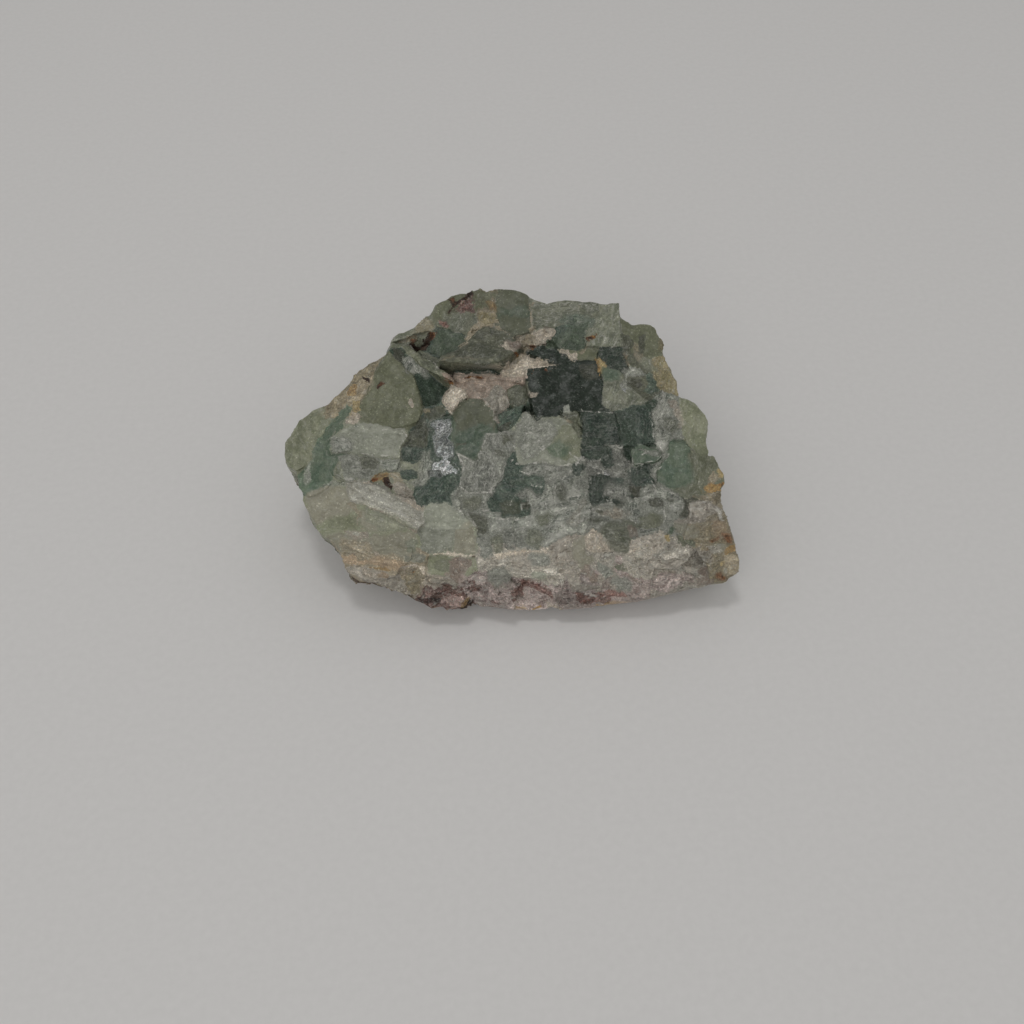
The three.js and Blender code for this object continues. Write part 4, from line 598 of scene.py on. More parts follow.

# Patches on the band, measured along the rim and up the band from it
# A painted highlight on the white band
# Painted shade: the darker greige patch where the band's right end lies in shadow
# The dark brown line along the lower edge: the brown underside seen edge-on, with painted shadow in it
BAND_PATCHES = read_table(Patch, """
# The left end
sand 1 0.5 1: -300,14 -260,4 -210,3 -146,6 -144,-24 -170,-30 -190,-26 -216,-26 -240,-22 -266,-20;
beige 1.06 0.5 0.9: -264,-6 -220,-6 -210,-20 -220,-28 -254,-26;
cream 0.72 0.4 0.9: -256,8 -244,10 -224,7 -214,0 -230,-5 -250,-2;
bright 1.2 0.15 1: -244,5 -234,6 -232,1 -242,0;
peach 1.03 0.4 0.95: -260,-26 -244,-25 -236,-34 -222,-36 -218,-43 -236,-44 -256,-42;
umber 2.6 0.12 0.9: -247,-24 -242,-24 -242,-28 -247,-28;
cream 0.84 0.2 0.95: -209,-18 -200,-20 -200,-27 -208,-28;
peach 0.92 0.5 0.9: -204,-28 -180,-30 -164,-38 -156,-48 -174,-53 -196,-46 -214,-38;
greige 1.19 0.4 0.95: -254,-44 -224,-44 -206,-49 -176,-56 -166,-62 -164,-94 -190,-84 -230,-68 -252,-58;
peach 0.75 0.3 0.85: -206,-54 -190,-53 -180,-58 -190,-62 -206,-61;
cream 0.99 0.15 1: -172,-48 -160,-45 -150,-41 -140,-46 -144,-50 -154,-48 -166,-52;
teal 1.05 0.3 0.4: -163,-6 -150,-4 -143,-10 -146,-20 -158,-20;
pale_green 0.99 0.4 0.8: -166,-24 -144,-23 -132,-30 -134,-42 -150,-41 -164,-36;
taupe 1.08 0.15 1: -163,-52 -150,-49 -144,-52 -142,-70 -136,-80 -139,-90 -150,-94 -162,-80;
greige 1.23 0.3 0.8: -168,-80 -154,-82 -146,-98 -156,-98;
peach 0.98 0.2 0.9: -258,-27 -244,-25 -238,-32 -249,-36;
peach 0.82 0.15 0.85: -225,-35 -206,-40 -177,-38 -197,-45 -219,-42;
ochre 0.77 0.12 0.75: -219,-46 -199,-46 -182,-50 -197,-52;
cream 0.77 0.3 0.8: -237,-46 -219,-51 -202,-54 -205,-63 -224,-60;
tan 0.9 0.2 1: -161,-52 -147,-49 -140,-57 -139,-74 -142,-88 -148,-92 -159,-87 -164,-71;
umber 2.2 0.12 0.9: -249,-68 -231,-72 -214,-74 -199,-79 -181,-87 -166,-94 -149,-102 -150,-107 -169,-100
 -184,-93 -201,-85 -216,-80 -234,-77 -248,-75;
# Below the trapezoid
pale_green 1.2 0.2 1: -144,20 -86,20 -84,-10 -88,-26 -120,-28 -140,-16;
sand 1.05 0.3 0.95: -84,20 -60,20 -52,-14 -56,-32 -88,-28 -86,0;
cream 1.44 0.12 1: -122,-27 -96,-28 -84,-25 -56,-32 -56,-36 -82,-32 -98,-33 -120,-32;
cream 1.32 0.2 0.95: -140,-48 -130,-48 -122,-60 -110,-66 -126,-66 -138,-58;
moss 1.45 0.5 0.8: -128,-36 -116,-32 -94,-32 -92,-44 -100,-58 -114,-56 -124,-48;
taupe 1.03 0.25 1: -92,-36 -70,-34 -58,-38 -62,-50 -74,-52 -90,-52;
umber 3.97 0.2 0.7: -63,-34 -54,-35 -56,-39 -62,-40;
taupe 1.32 0.3 0.95: -98,-52 -74,-52 -64,-52 -70,-64 -84,-74 -110,-72 -106,-60;
umber 2.64 0.12 1: -127,-68 -120,-68 -119,-72 -126,-72;
mauve 1.52 0.3 0.9: -83,-62 -70,-56 -62,-64 -62,-76 -80,-78;
greige 1.11 0.4 0.9: -134,-60 -110,-61 -88,-66 -84,-75 -93,-82 -119,-79 -135,-76;
cream 1 0.3 0.8: -134,-65 -123,-61 -110,-63 -97,-65 -110,-70 -123,-72 -132,-81 -137,-74;
olive 0.88 0.3 0.95: -122,-44 -109,-38 -94,-41 -92,-61 -110,-58 -120,-53;
taupe 1 0.3 0.95: -94,-42 -80,-36 -65,-38 -63,-50 -77,-64 -84,-73 -97,-65;
# The pink lump
rose 0.78 0.2 1: -133,-83 -126,-79 -119,-84 -121,-93 -131,-94;
purple 0.85 0.3 0.9: -115,-77 -101,-75 -84,-82 -82,-89 -111,-91;
purple 0.54 0.3 1: -140,-100 -124,-98 -111,-100 -114,-112 -125,-117 -136,-112;
rose 0.72 0.2 0.9: -129,-105 -120,-102 -118,-110 -127,-112;
rose 0.78 0.2 1: -111,-96 -97,-91 -75,-92 -78,-106 -89,-115 -103,-119 -112,-112;
purple 0.78 0.25 0.8: -114,-112 -105,-106 -91,-110 -98,-117 -107,-120;
purple 0.3 0.25 1: -144,-97 -126,-96 -111,-97 -112,-104 -126,-104 -138,-106;
ochre 0.6 0.12 0.95: -82,-111 -70,-98 -62,-93 -58,-98 -68,-103 -78,-113;
umber 0.6 0.12 1: -93,-121 -78,-113 -66,-103 -58,-99 -54,-103 -68,-114 -84,-123;
# The middle
dusk 0.85 0.15 1: -56,20 -37,20 -36,0 -38,-8 -47,-5 -50,7;
mist 1.28 0.3 1: -50,-6 -30,-6 -27,-22 -24,-30 -40,-38 -50,-34;
dusk 1.7 0.5 0.8: -26,-5 -11,-4 -8,-12 -10,-26 -20,-28 -24,-20 -29,-13;
mist 1 0.3 0.9: -9,2 18,0 22,-16 0,-24 -9,-20;
dusk 1.75 0.6 0.75: 26,6 40,8 50,-3 54,-10 40,-19 25,-16 23,-3;
sugar 1.28 0.3 1: -40,-40 -24,-31 0,-28 0,-42 -10,-50 -20,-53 -44,-54 -50,-48;
cream 1.17 0.2 0.9: -24,-32 -10,-30 -8,-36 -22,-42;
greige 1.28 0.12 1: 0,-31 26,-30 44,-31 58,-36 64,-52 34,-50 10,-49 -4,-46;
cream 1.34 0.1 1: -24,-29 0,-25 26,-24 42,-26 56,-19 59,-24 52,-31 36,-31 0,-30 -22,-34;
sugar 1.41 0.3 1: -4,-50 28,-51 34,-60 30,-68 0,-66 -14,-58;
sugar 1.57 0.4 1: 32,-53 54,-50 72,-54 82,-68 78,-82 56,-83 40,-78 30,-68;
bright 1.54 0.2 0.8: 43,-60 52,-58 55,-70 52,-76 44,-70;
greige 1.18 0.15 1: 56,-20 75,-9 100,0 112,-4 116,-26 108,-44 96,-50 80,-36 64,-36;
cream 1 0.2 0.9: 70,-40 82,-37 86,-44 78,-51 70,-48;
greige 1.29 0.3 1: 66,-50 80,-52 96,-50 104,-60 106,-82 86,-84 82,-68;
taupe 0.99 0.4 0.8: 109,-46 116,-50 124,-60 130,-74 122,-77 114,-64 106,-58;
greige 0.9 0.3 0.9: 86,-82 104,-80 124,-79 144,-80 146,-92 120,-92 94,-94;
# The lilac foot
lilac 1.01 0.3 1: -76,-76 -66,-66 -50,-56 -36,-58 -32,-80 -10,-90 0,-106 -4,-126 -30,-114 -60,-104 -70,-90;
greige 0.83 0.3 1: -35,-56 -16,-54 2,-60 4,-74 -4,-84 -24,-86 -34,-76;
mauve 0.9 0.25 0.8: -14,-62 0,-62 6,-74 -4,-82 -14,-76;
purple 1.06 0.15 1: -63,-71 -56,-71 -55,-78 -62,-78;
purple 0.9 0.2 1: -59,-80 -50,-78 -46,-84 -52,-89 -59,-87;
purple 1.06 0.1 1: -41,-74 -37,-74 -37,-80 -40,-81;
lilac 1.27 0.3 0.9: -52,-90 -32,-88 -28,-98 -48,-103;
mauve 1.54 0.15 1: 22,-80 40,-84 54,-90 66,-100 66,-124 30,-124 6,-122 4,-106 18,-104;
mauve 1.05 0.2 0.9: 46,-90 64,-91 67,-108 50,-108;
taupe 0.69 0.12 1: 1,-92 10,-86 19,-87 17,-103 3,-106;
purple 1.24 0.15 1: 12,-75 25,-71 32,-74 48,-82 46,-90 30,-82 14,-81;
lilac 1.54 0.3 1: 8,-108 30,-108 64,-112 72,-126 40,-128 10,-126 -10,-120;
mauve 0.84 0.2 1: 68,-99 98,-100 98,-114 70,-114;
lilac 0.92 0.3 1: 66,-84 94,-94 99,-100 68,-99;
purple 0.64 0.15 1: 99,-92 105,-94 114,-100 126,-102 127,-114 110,-115 102,-110 97,-102;
rust 1.1 0.25 0.6: 108,-104 120,-106 120,-114 109,-114;
purple 1.38 0.3 0.8: 126,-96 144,-100 142,-110 128,-112;
mauve 1.15 0.3 0.8: 74,-114 104,-116 144,-114 142,-126 74,-129;
peach 1.24 0.15 0.9: 4,-119 20,-118 18,-126 4,-125;
ochre 1.24 0.12 1: 32,-120 45,-119 44,-128 34,-128;
mauve 0.95 0.3 0.9: -32,-96 -10,-96 0,-108 -16,-112 -30,-106;
lilac 1.27 0.3 0.9: -66,-87 -53,-88 -38,-90 -38,-104 -53,-102;
purple 0.8 0.15 1: -68,-80 -57,-78 -46,-78 -49,-85 -62,-87;
purple 0.85 0.2 0.9: -36,-104 -25,-102 -16,-110 -32,-114;
# To the right of the middle
cream 0.92 0.25 1: 114,-4 126,2 136,-4 150,-20 154,-28 134,-28 118,-24;
sugar 1 0.3 1: 116,-26 134,-28 156,-30 166,-46 158,-60 134,-60 122,-50 110,-42;
greige 1.17 0.3 1: 132,-60 158,-60 170,-74 184,-86 180,-94 150,-92 130,-90 132,-74;
mauve 0.92 0.3 0.7: 136,-72 152,-72 152,-90 136,-90;
dusk 1.3 0.5 0.88: 138,-4 142,10 162,20 184,18 195,16 200,6 194,-2 188,-12 182,-28 174,-32 162,-31 150,-18;
taupe 0.72 0.3 0.7: 182,4 198,4 196,-10 184,-12;
olive 0.75 0.3 0.9: 204,20 230,20 230,4 210,2 200,4;
dusk 0.85 0.2 0.9: 212,18 224,18 224,8 213,9;
greige 1.44 0.25 1: 184,-16 206,-9 234,-4 240,-12 234,-26 218,-32 204,-44 186,-52 172,-46 176,-32;
cream 1.21 0.3 0.8: 174,-40 188,-24 204,-22 216,-30 200,-44 182,-52;
bright 1.27 0.1 0.9: 199,-22 204,-22 213,-31 209,-32;
dusk 1.23 0.15 1: 158,-47 168,-49 170,-56 164,-59 159,-54;
taupe 1.05 0.25 0.8: 177,-62 186,-65 196,-74 204,-74 202,-79 192,-79 180,-70;
sugar 1.34 0.3 1: 164,-60 184,-54 204,-46 220,-50 226,-66 214,-74 196,-72 180,-61;
mauve 1.42 0.3 1: 160,-94 184,-90 204,-80 220,-86 220,-104 184,-112 140,-116 142,-104;
purple 1.73 0.25 0.9: 130,-94 150,-92 170,-93 178,-100 160,-104 134,-102;
lilac 1.42 0.2 0.8: 146,-104 160,-104 160,-112 146,-112;
# The right end
dusk 1.24 0.15 1: 256,-9 281,-10 283,-22 270,-23 257,-21;
straw 0.95 0.12 1: 238,-10 245,-11 244,-17 238,-16;
bottle 1.15 0.12 1: 244,1 253,1 250,-9 243,-9;
sand 0.85 0.3 0.8: 250,10 280,10 296,0 284,-9 256,-8;
sugar 1.1 0.3 1: 234,-28 254,-24 272,-28 272,-40 260,-48 236,-46;
greige 1.15 0.3 1: 210,-44 234,-46 260,-48 276,-48 282,-62 250,-62 226,-64;
greige 0.68 0.5 0.8: 276,-40 290,-32 310,-30 314,-44 306,-52 290,-48;
taupe 0.78 0.3 0.9: 286,-60 300,-58 306,-66 300,-74 288,-72;
cream 0.78 0.3 0.9: 214,-74 230,-66 256,-64 258,-74 240,-82 218,-84;
greige 1.06 0.3 0.95: 214,-84 240,-82 260,-68 284,-66 288,-86 254,-98 214,-106;
mauve 1.13 0.3 0.7: 262,-66 284,-66 284,-84 266,-86;
tan 0.8 0.3 0.95: 282,10 310,20 320,6 310,-6 294,-8;
tan 0.75 0.3 0.9: 294,-14 310,-12 314,-24 306,-30 296,-28;
peach 0.62 0.8 0.7: 310,16 330,19 336,0 320,-8 308,-2;
rust 1.19 0.5 0.6: 305,-8 318,-8 316,-15 306,-14;
rust 1.52 0.5 0.7: 324,-1 335,-4 339,-22 330,-22 326,-12;
sand 0.94 0.3 0.9: 308,-22 330,-22 332,-36 314,-38;
bright 0.89 0.12 0.8: 316,-25 322,-23 320,-31 314,-32;
ochre 0.84 0.25 0.9: 332,-22 342,-24 345,-34 336,-36 328,-42 328,-34;
beige 1.1 0.3 1: 328,-42 340,-38 354,-46 356,-60 348,-70 334,-72 324,-62;
straw 1.08 0.15 0.9: 319,-49 325,-49 326,-56 320,-57;
bright 1.08 0.15 0.7: 328,-61 334,-60 334,-68 328,-67;
rust 1.4 0.5 0.75: 316,-64 322,-66 332,-77 324,-81 314,-76;
taupe 0.92 0.3 0.9: 286,-74 314,-76 316,-86 288,-89;
# The band, in the middle and on the right
mist 1.34 0.5 0.85: 27,-32 48,-29 60,-38 54,-51 33,-52 23,-44;
greige 1.25 0.5 0.85: 57,-25 76,-11 98,-6 91,-29 85,-51 63,-48;
sand 0.99 0.5 0.9: 98,-10 113,-4 119,-26 128,-43 110,-52 97,-35;
taupe 1.05 0.4 0.8: 113,-49 122,-46 133,-62 130,-77 120,-75;
mist 1.42 0.3 0.9: 136,-46 150,-53 154,-66 143,-71 133,-57;
dusk 1.92 0.4 0.9: 158,-47 171,-45 182,-55 174,-62 162,-58;
sugar 1.23 0.3 0.9: 171,-40 190,-28 211,-22 214,-38 199,-51 187,-60 174,-53;
greige 1.09 0.5 0.9: 196,-47 217,-41 236,-45 233,-61 211,-69 196,-60;
lilac 1.18 0.4 0.9: 215,-77 236,-68 261,-68 273,-78 261,-93 230,-96 212,-90;
mist 1.3 0.5 0.85: 159,-69 181,-67 190,-80 184,-93 162,-92 153,-79;
dusk 1.65 0.3 0.9: 258,-10 275,-9 282,-22 263,-24;
lilac 1.32 0.3 0.9: 26,-83 44,-81 63,-97 60,-113 41,-113 29,-99;
purple 1.35 0.25 0.85: 14,-71 29,-72 48,-80 60,-92 47,-86 29,-81 13,-81;
mauve 0.8 0.4 0.85: 74,-97 91,-94 97,-107 81,-112;
purple 1 0.3 0.9: 95,-92 106,-94 123,-103 153,-100 154,-109 122,-115 103,-112;
ochre 1 0.4 0.7: 128,-115 147,-112 159,-115 150,-120 131,-121;
cream 1.01 0.3 0.8: 53,-113 69,-115 78,-122 66,-127 53,-123;
sugar 1.41 0.25 0.85: 39,-54 60,-56 76,-67 60,-77 41,-73 32,-63;
pale_green 1.72 0.4 0.9: 32,-55 51,-57 60,-69 48,-75 32,-68;
greige 0.8 0.4 0.8: 276,-27 291,-25 305,-43 291,-50 279,-41;
sugar 1 0.15 0.9: 303,-24 322,-29 325,-39 310,-35;
mist 1.17 0.5 0.85: -35,-55 -17,-52 2,-56 1,-72 -18,-82 -36,-72;
greige 1.28 0.5 0.85: -1,-43 20,-39 33,-47 23,-58 2,-56;
purple 1.11 0.3 0.9: 1,-85 17,-83 19,-102 4,-104;
lilac 1.22 0.3 0.9: -36,-85 -18,-82 -2,-85 -3,-108 -27,-105;
purple 1.35 0.2 0.9: 10,-76 26,-73 47,-83 63,-97 66,-108 50,-100 29,-84;
""")

# Fine pale lines on the face: frosted rims, cracks and scratches
FACE_VEINS = [outline(vein) for vein in """
-4,-244 20,-239 43,-233 61,-226 75,-219 90,-210 114,-198;
275,-193 278,-176 286,-168 300,-166 314,-172 324,-186 330,-200; -118,-243 -86,-246 -52,-248;
-132,-170 -133,-190 -132,-224; -78,-170 -64,-186 -53,-208 -46,-223; -30,-182 -6,-190 16,-187 32,-179;
2,-44 -32,-47 -36,-58 -40,-70 -44,-80 -46,-88 -54,-94; -79,-75 -70,-94 -69,-106 -73,-120 -77,-133 -70,-143;
-79,-75 -66,-83 -53,-98 -68,-100; -68,-142 -40,-143 -24,-140 -15,-130 -12,-120 -6,-106;
-44,-80 -28,-79 -8,-80; 116,-93 143,-93; 225,-15 227,-40 231,-64; 48,-97.5 96,-97.5;
70,-130 86,-120 100,-110; -262,-103 -250,-116 -230,-122; -156,112 -130,92 -108,72;
-259,-103 -249,-114 -234,-119; -230,-72 -205,-76 -176,-78; -82,-168 -70,-179 -60,-196 -50,-215 -44,-226;
46,-99 99,-98; 68,-137 85,-122 103,-107 110,-94; -24,-10 -18,-26; 223,-16 229,-40 230,-64 246,-70 248,-86;
236,-70 242,-84; 116,-91 146,-92; 120,-104 144,-109 154,-120; 117,-8 120,-12 170,-11;
-200,-36 -170,-32 -158,-44 -172,-66; 152,-70 179,-71; 206,-90 216,-84; 200,-159 184,-164 170,-176;
-77,-76 -70,-97 -72,-116 -76,-132 -63,-143 -26,-145 -17,-130 -14,-117 -6,-101 6,-91;
72,-162 73,-150 75,-133 83,-125 97,-114 114,-88; 68,-162 86,-156 113,-151; 70,-175 87,-171 118,-163;
73,-195 90,-189 118,-176; 75,-203 100,-194 117,-186; 76,-217 99,-212 117,-202; 116,-88 124,-112 125,-133;
1,-165 3,-155 11,-149; 18,-173 18,-165 32,-163; -73,-171 -63,-184 -54,-204 -46,-221;
-46,-164 -42,-174 -32,-176 -32,-168; -34,-180 -15,-181 -17,-189; 136,-166 159,-164;
118,-176 133,-182 142,-192; -26,-239 -12,-229 0,-222; 17,-109 33,-113 45,-108; 32,-126 36,-135 52,-137;
280,-169 294,-167 311,-162; 277,-179 293,-176 310,-174 321,-186 327,-203; 202,-145 210,-153 217,-157;
219,-131 226,-145 221,-155; 235,-141 245,-150 256,-154 265,-163 264,-179;
235,-178 238,-195 231,-207 241,-213; 188,-151 198,-153 210,-145; 150,-143 146,-156 155,-160;
132,-116 150,-114 159,-121; 185,-98 189,-113 204,-111; 196,-75 193,-97 209,-103 228,-97 239,-89;
161,-193 177,-193 192,-198; 118,-176 131,-172 145,-176; 253,-83 240,-104 229,-116; 11,-37 26,-32 41,-40;
16,-53 35,-48 51,-35; 23,-69 40,-64 62,-54; 25,-85 44,-78 67,-65; 35,-13 36,-27 31,-38;
12,-97 44,-98 68,-99 100,-101; 113,-89 97,-108 73,-131; 98,-82 108,-90 115,-89; 78,-45 70,-60 52,-81;
""".split(";")[:-1]]


# What lies between the crystals: the floor of the quartz pocket
POCKET = Patch("taupe", 0.95, 0.5, 1, outline("-94,46 -80,54 34,54 44,30 30,-10 -16,-34 -96,-16 -106,16"))

# Looks of the broken sides and back, picked at random from place to place
SIDE_LOOKS = ("grey_green", "olive", "teal", "frosted", "dusk", "beige", "grey_green", "deep_teal")
SIDE_CELL = 8  # the width of one side crystal, in millimetres


# Small tools for numbers
def unit(rows):
    return rows / np.maximum(np.linalg.norm(rows, axis=1), TINY)[:, None]


def smooth(low, high, value):
    share = np.clip((value - low) / (high - low), 0, 1)
    return share * share * (3 - 2 * share)


NOISE_SHIFT = 100  # noise has a seam at zero, so points are moved away from it
# Where each kind of noise starts from
SEED = dict(side=31, side_cells=41, side_pick=45, side_light=46, crust=51, bend=61, wander=71, broad=101,
            fine=131, ridges=151, swell=161, grit=171, ragged=181)


def hashed(cells, seed):
    """A random value from 0 to 1 for each row of three whole numbers."""
    mask = 0xFFFFFFFF
    cells = cells.astype(np.int64)
    value = (cells[:, 0] * 73856093 ^ cells[:, 1] * 19349663 ^ cells[:, 2] * 83492791 ^ seed * 8191) & mask
    for factor in (0x45D9F3B, 0x119DE1F3):
        value = ((value ^ (value >> 16)) * factor) & mask
    return ((value ^ (value >> 15)) & 0xFFFFFF) / 0xFFFFFF


def noise(points, size, seed):
    """Smooth noise from -1 to 1, whose lumps are about one size wide."""
    scaled = points / size + NOISE_SHIFT
    base = np.floor(scaled)
    part = scaled - base
    part = part * part * (3 - 2 * part)
    total = np.zeros(len(points))
    for corner in np.ndindex(2, 2, 2):
        weight = np.prod(np.where(corner, part, 1 - part), axis=1)
        total += weight * hashed(base + corner, seed)
    return 2 * total - 1


def layered(points, size, seed, layers=3):
    """Noise with finer and weaker layers added."""
    total = np.zeros(len(points))
    for layer in range(layers):
        total += noise(points, size / 2**layer, seed + layer) * 0.5**layer
    return total / (2 - 0.5 ** (layers - 1))


def cells_of(points, size, seed):
    """For each point the nearest of the scattered cell centres: its key, the way from it, and how much
    further the next centre is."""
    scaled = points / size + NOISE_SHIFT
    base = np.floor(scaled)
    nearest = np.full(len(points), FAR)
    second = nearest.copy()
    key = np.zeros((len(points), 3))
    away = np.zeros((len(points), 3))
    for step in np.ndindex(3, 3, 3):
        cell = base + np.array(step) - 1
        jitter = np.stack([hashed(cell, seed + axis) for axis in range(3)], axis=1)
        offset = scaled - (cell + jitter)
        distance = np.linalg.norm(offset, axis=1)
        closer = distance < nearest
        second = np.where(closer, nearest, np.minimum(second, distance))
        nearest = np.where(closer, distance, nearest)
        key[closer] = cell[closer]
        away[closer] = offset[closer]
    return key, away * size, (second - nearest) * size


# The fine mesh
def applied(stone):
    """Puts what the piece's modifiers make in place of its mesh."""
    graph = bpy.context.evaluated_depsgraph_get()
    mesh = bpy.data.meshes.new_from_object(stone.evaluated_get(graph))
    stone.modifiers.clear()
    stone.data = mesh


def vectors(mesh, items, field):
    flat = np.zeros(len(items) * 3, np.float32)
    items.foreach_get(field, flat)
    return flat.reshape(-1, 3).astype(float)


def fine_stone():
    """The part's solid as an even mesh in millimetres, with the underside thinned out."""
    mesh = bpy.data.meshes.new("stone")
    solid = bmesh.new()
    solid.from_mesh(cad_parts[NODE].data)
    bmesh.ops.remove_doubles(solid, verts=solid.verts, dist=WELD * MM)
    bmesh.ops.scale(solid, vec=Vector((1, 1, 1)) / MM, verts=solid.verts)
    solid.to_mesh(mesh)
    solid.free()
    stone = bpy.data.objects.new("stone", mesh)
    bpy.context.scene.collection.objects.link(stone)
    remesh = stone.modifiers.new("even", "REMESH")
    remesh.mode = "VOXEL"
    remesh.voxel_size = VOXEL
    applied(stone)
    below = vectors(stone.data, stone.data.vertex_normals, "vector")[:, 2] < FACING_DOWN
    group = stone.vertex_groups.new(name="below")
    group.add([int(i) for i in np.flatnonzero(below)], 1.0, "REPLACE")
    thin = stone.modifiers.new("thin", "DECIMATE")
    thin.ratio = UNDERSIDE_KEPT
    thin.vertex_group = group.name
    applied(stone)
    stone.vertex_groups.clear()
    return stone


# Frames and crystals
def tilted(tilt, centre):
    """A frame's middle and its three directions: right, up the slope, and out of the stone."""
    turn = math.radians(tilt)
    right = np.array((1, 0, 0))
    up = np.array((0, math.cos(turn), math.sin(turn)))
    out = np.array((0, -math.sin(turn), math.cos(turn)))
    return np.array(centre), np.stack([right, up, out], axis=1)


def inside_frame(points, where):
    centre, ways = where
    return (points - centre) @ ways


FACE = tilted(FACE_TILT, FACE_CENTRE)
BAND = tilted(BAND_TILT, FACE[0] + RIM_V * FACE[1][:, 1])


MARGIN = 2  # how far round an outline its points are looked for, in millimetres
DEEP = -0.45  # points deeper than this in a prism belong to the one whose sides they are furthest inside


def distance_to_outline(points, corners):
    """How far each point is outside its own outline, or inside as a minus. Corners are one outline a
    point, as points by corners by 2."""
    nearest = np.full(len(points), FAR)
    inside = np.zeros(len(points), bool)
    count = corners.shape[1]
    for i in range(count):
        start = corners[:, i]
        end = corners[:, (i + 1) % count]
        side = end - start
        way = points - start
        along = np.clip((way * side).sum(1) / np.maximum((side * side).sum(1), TINY), 0, 1)
        nearest = np.minimum(nearest, np.linalg.norm(way - along[:, None] * side, axis=1))
        crosses = (start[:, 1] > points[:, 1]) != (end[:, 1] > points[:, 1])
        rise = np.where(np.abs(side[:, 1]) < TINY, TINY, side[:, 1])
        at = start[:, 0] + (points[:, 1] - start[:, 1]) * side[:, 0] / rise
        inside ^= crosses & (points[:, 0] < at)
    return np.where(inside, -nearest, nearest)


def crystal_distance(local, crystal, root, sight_tilt):
    """How far each point is outside a crystal's prism, and outside its sides alone."""
    corners = crystal.outline
    middle = corners.mean(0)
    slopes = np.array((crystal.slope_u, crystal.slope_v))
    tall = crystal.top + (corners - middle) @ slopes
    lean = math.tan(math.radians(sight_tilt))
    head = corners - np.stack([corners[:, 0] / SIGHT_DISTANCE * tall, lean * tall], axis=1)
    foot = corners + FLARE * (corners - middle)
    foot[:, 0] -= foot[:, 0] / SIGHT_DISTANCE * root
    low, high = np.minimum(head, foot).min(0) - MARGIN, np.maximum(head, foot).max(0) + MARGIN
    near = np.flatnonzero(((local[:, :2] > low) & (local[:, :2] < high)).all(1) & (local[:, 2] > root))
    points = local[near]
    share = (tall - points[:, 2:]) / (tall - root)
    section = head + share[:, :, None] * (foot - head)
    sides = distance_to_outline(points[:, :2], section)
    height = crystal.top + (seen_from_front(points, sight_tilt) - middle) @ slopes
    return near, np.maximum(points[:, 2] - height, sides), sides


def seen_from_front(local, sight_tilt):
    """Where on the face a point is seen by a viewer in front."""
    u = local[:, 0] * (1 + local[:, 2] / SIGHT_DISTANCE)
    return np.stack([u, local[:, 1] + math.tan(math.radians(sight_tilt)) * local[:, 2]], axis=1)


def whose(points):
    """The crystal that each point of the surface belongs to, the next one, and how near that is."""
    best = np.full(len(points), FAR)
    second = best.copy()
    owner = np.full(len(points), -1)
    runner = owner.copy()
    deepest = np.full(len(points), FAR)
    holder = owner.copy()
    number = 0
    for where, crystals, root, sight in (
        (FACE, FACE_CRYSTALS, FACE_ROOT, SIGHT_TILT),
        (BAND, BAND_LUMPS, BAND_ROOT, 0),
    ):
        local = inside_frame(points, where)
        for crystal in crystals:
            near, outside, sides = crystal_distance(local, crystal, root, sight)
            closer = outside < best[near]
            next_in = np.where(outside < second[near], number, runner[near])
            runner[near] = np.where(closer, owner[near], next_in)
            second[near] = np.where(closer, best[near], np.minimum(second[near], outside))
            best[near] = np.where(closer, outside, best[near])
            owner[near[closer]] = number
            deeper = sides < deepest[near]
            deepest[near] = np.where(deeper, sides, deepest[near])
            holder[near[deeper]] = number
            number += 1
    cut = best < DEEP
    owner = np.where(cut, holder, owner)
    runner = np.where(cut, owner, runner)
    return owner, runner, second - best


# Painting: every vertex gets a row that says what its surface is like
EDGE_REACH = 0.45  # how far from an edge its two colours are kept, in millimetres
SOFT = 0.45  # patches softer than this fade out instead of ending in an edge
RIM_BLEND = (1.9, 1.1)  # how far above the rim the band's patches begin to show, and show fully
BAND_BEGINS, BAND_ENDS = -0.9, 1.4  # heights on the band: all band below the first, none above the second
WANDERS = (0.45, 1.8)  # how much of the wander an edge follows: the least, and more the softer it is
FADES = (0.1, 0.3)  # half the width of a soft edge: the least, and more the softer it is
BARELY = 0.02  # where less of a patch than this would show, it is left out
MOSTLY = 0.5  # a point counts as part of whatever it has more than this share of

# The broken sides begin at the first value and are all there is at the second: depths below the face and
# below the band, and how much the surface faces up and faces the band's way
SIDE_DEPTH, BAND_DEPTH = (3.2, 5.6), (-2, -3.2)
SIDE_FACING, BAND_FACING = (0.55, 0.2), (0.3, -0.2)
SIDE_WANDER, SIDE_BEND = (3, 0.8), (4, 1.2)  # size and reach of the wander of their edge, and of the borders
SIDE_LIGHT = (0.75, 0.5)  # the darkest of the side crystals, and how much lighter they get
SIDE_APART = 5  # how far each side crystal's own pattern is moved from its neighbour's
VEINS_END = 0.3  # no fine lines where there is more of the sides than this
UNDERSIDE_DARKENING = 0.85  # how strong the dark brown under the stone is: its brown underside, with painted shade
UNDERSIDE_FACING = (-0.15, -0.55)  # it begins where the surface turns down, in the same way
UNDERSIDE_WANDER = (2.5, 0.25)  # size and reach of the wander of its edge


def look_row(name, light=1):
    look = LOOKS[name]
    return np.array([min(value * light, BRIGHTEST) for value in look[:COLOURS]] + list(look[COLOURS:]))


def column(rows, name):
    return rows[:, COLOURS + COLUMNS.index(name)]


APART = 17.3  # how far each crystal's own pattern is moved from the last one's


def turned(local, angle, number):
    """Crystal coordinates with the first along the streaks, moved so that no two crystals match."""
    turn = math.radians(angle)
    along = local[:, 0] * math.cos(turn) + local[:, 1] * math.sin(turn)
    across = local[:, 1] * math.cos(turn) - local[:, 0] * math.sin(turn)
    return np.stack([along, across, local[:, 2]], axis=1) + APART * number


